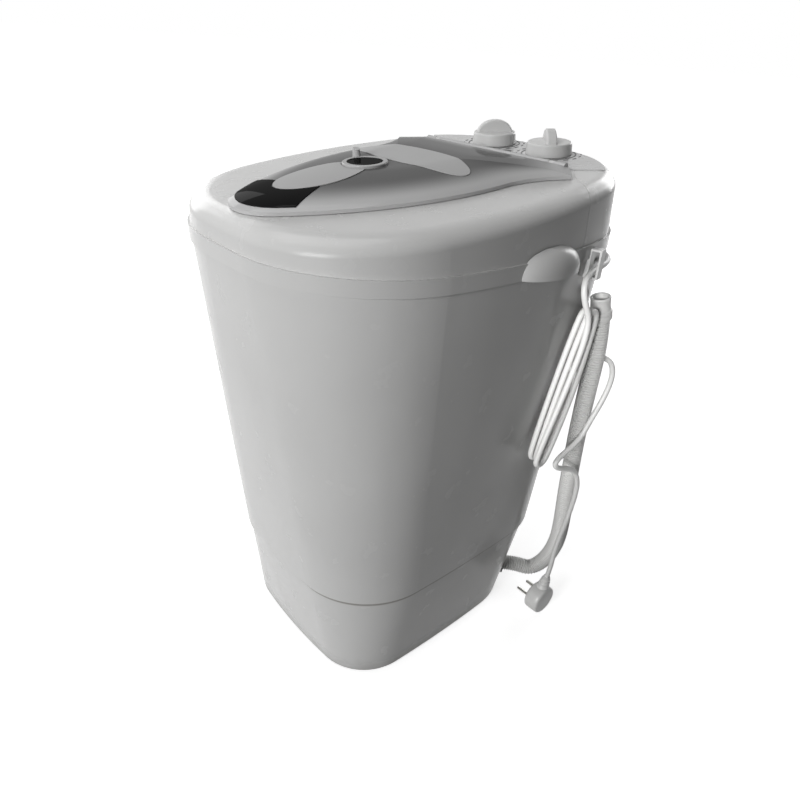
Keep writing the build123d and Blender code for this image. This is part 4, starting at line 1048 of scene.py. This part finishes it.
def seen_directly(tree):
    """1 for rays from the camera, and in reflections and through glass, else 0."""
    rays = tree.nodes.new("ShaderNodeLightPath").outputs
    mirrored = calculate(tree, "MAXIMUM", rays["Is Glossy Ray"], rays["Is Transmission Ray"])
    return calculate(tree, "MAXIMUM", rays["Is Camera Ray"], mirrored)


def mixed_shader(tree, factor, first, second):
    """Blend two shaders."""
    mix = joined(tree, "ShaderNodeMixShader", Fac=factor)
    tree.links.new(first, mix.inputs[1])
    tree.links.new(second, mix.inputs[2])
    return mix.outputs[0]


def set_camera(scene):
    """Look from where the photograph was taken."""
    lens = bpy.data.cameras.new("photo_camera")
    lens.sensor_width = 36.0
    lens.lens = CAMERA_LENS
    lens.shift_x, lens.shift_y = CAMERA_SHIFT
    lens.clip_end = 200.0
    camera = linked("photo_camera", lens)
    ahead = CAMERA_AHEAD.normalized()
    right = ahead.cross(CAMERA_UP).normalized()
    above = right.cross(ahead)
    turn = Matrix((right, above, -ahead)).transposed().to_4x4()
    camera.matrix_world = Matrix.Translation(CAMERA_PLACE) @ turn
    scene.camera = camera


def lay_floor(looks):
    """Lay a floor that looks white with a soft shadow, and throws its own colour back."""
    mesh = bpy.data.meshes.new("studio_floor")
    far = FLOOR_REACH
    corners = [(-far, -far, 0), (far, -far, 0), (far, far, 0), (-far, far, 0)]
    mesh.from_pydata(corners, [], [(0, 1, 2, 3)])
    paper = bpy.data.materials.new("studio_floor")
    paper.use_nodes = True
    tree = paper.node_tree
    thrown = tree.nodes["Principled BSDF"]
    thrown.inputs["Base Color"].default_value = (*looks.floor, 1)
    thrown.inputs["Roughness"].default_value = 0.9
    thrown.inputs["Specular IOR Level"].default_value = 0.0
    place = tree.nodes.new("ShaderNodeTexCoord").outputs["Object"]
    away = joined(tree, "ShaderNodeVectorMath", {"operation": "LENGTH"}, Vector=place).outputs["Value"]
    glow = ramped(tree, away, GLOW_NEAR, GLOW_FAR, looks.white, 1.0)
    lit = joined(tree, "ShaderNodeBsdfDiffuse", Color=(0.7, 0.7, 0.7, 1)).outputs[0]
    white = joined(tree, "ShaderNodeEmission", Strength=glow).outputs[0]
    both = tree.nodes.new("ShaderNodeAddShader")
    tree.links.new(lit, both.inputs[0])
    tree.links.new(white, both.inputs[1])
    shown = mixed_shader(tree, seen_directly(tree), thrown.outputs[0], both.outputs[0])
    tree.links.new(shown, tree.nodes["Material Output"].inputs["Surface"])
    new_object("studio_floor", mesh, paper)


def aimed(name, lamp, place, target):
    """Hang a light at a place so that it shines on a target."""
    light = linked(name, lamp)
    turn = (target - Vector(place)).to_track_quat("-Z", "Y").to_matrix().to_4x4()
    light.matrix_world = Matrix.Translation(place) @ turn
    return light


def hang_lights(looks):
    """Hang the soft lights and the hose's own narrow light."""
    for name, place, size, power, share in SOFT_LIGHTS:
        lamp = bpy.data.lights.new(name, "AREA")
        lamp.shape = "SQUARE"
        lamp.size = size
        lamp.energy = getattr(looks, power) * share
        aimed(name, lamp, place, LIGHTS_AIM)

    narrow = bpy.data.lights.new("hose_light", "SPOT")
    narrow.energy = looks.hose
    narrow.spot_size = math.radians(HOSE_LIGHT_ANGLE)
    narrow.spot_blend = 1.0
    narrow.shadow_soft_size = HOSE_LIGHT_RADIUS
    spot = aimed("hose_light", narrow, HOSE_LIGHT_PLACE, Vector(HOSE_POINTS[-1]))
    lit = bpy.data.collections.new("hose_light_reach")
    for name in ("ribbed_hose", "hose_end_cuff", "power_cord"):
        lit.objects.link(bpy.data.objects[name])
    lit.objects.link(nodes["hose_clip"])
    spot.light_linking.receiver_collection = lit


def set_world(scene, looks):
    """Light evenly from all round, behind a background that looks white."""
    world = bpy.data.worlds.new("studio")
    world.use_nodes = True
    scene.world = world
    tree = world.node_tree
    soft = tree.nodes["Background"]
    soft.inputs["Color"].default_value = (1, 1, 1, 1)
    soft.inputs["Strength"].default_value = looks.fill
    bright = joined(tree, "ShaderNodeBackground", Color=(1, 1, 1, 1)).outputs[0]
    shown = mixed_shader(tree, seen_directly(tree), soft.outputs[0], bright)
    tree.links.new(shown, tree.nodes["World Output"].inputs["Surface"])


class WASHER_OT_stage(bpy.types.Operator):
    """Set the camera, floor, lights and world."""

    bl_idname = "washer.stage"
    bl_label = "Set stage"

    def execute(self, context):
        looks = context.scene.washer_stage
        context.scene.view_settings.view_transform = "Standard"
        set_camera(context.scene)
        lay_floor(looks)
        hang_lights(looks)
        set_world(context.scene, looks)
        return {"FINISHED"}


STEPS = (
    WASHER_OT_shell,
    WASHER_OT_lid,
    WASHER_OT_controls,
    WASHER_OT_works,
    WASHER_OT_hose,
    WASHER_OT_cord,
    WASHER_OT_stage,
)
GROUPS = (
    ("washer_shell", ShellLooks),
    ("washer_lid", LidLooks),
    ("washer_cords", CordLooks),
    ("washer_stage", StageLooks),
)


class WASHER_PT_steps(bpy.types.Panel):
    """Sidebar panel with the looks and the steps that apply them."""

    bl_label = "Mini washing machine"
    bl_idname = "WASHER_PT_steps"
    bl_space_type = "VIEW_3D"
    bl_region_type = "UI"
    bl_category = "Washer"

    def draw(self, context):
        for name, group in GROUPS:
            looks = getattr(context.scene, name)
            box = self.layout.box()
            for prop in group.__annotations__:
                box.prop(looks, prop)
        for step in STEPS:
            self.layout.operator(step.bl_idname)


def register():
    """Register the groups, operators and panel."""
    for name, group in GROUPS:
        bpy.utils.register_class(group)
        setattr(bpy.types.Scene, name, bpy.props.PointerProperty(type=group))
    for step in STEPS:
        bpy.utils.register_class(step)
    bpy.utils.register_class(WASHER_PT_steps)


def unregister():
    """Take the panel, operators and groups away again."""
    bpy.utils.unregister_class(WASHER_PT_steps)
    for step in reversed(STEPS):
        bpy.utils.unregister_class(step)
    for name, group in reversed(GROUPS):
        delattr(bpy.types.Scene, name)
        bpy.utils.unregister_class(group)


def main():
    """Register the steps, then make every piece."""
    register()
    for step in STEPS:
        group, name = step.bl_idname.split(".")
        getattr(getattr(bpy.ops, group), name)()
    bpy.context.view_layer.update()


if __name__ == "__main__":
    main()
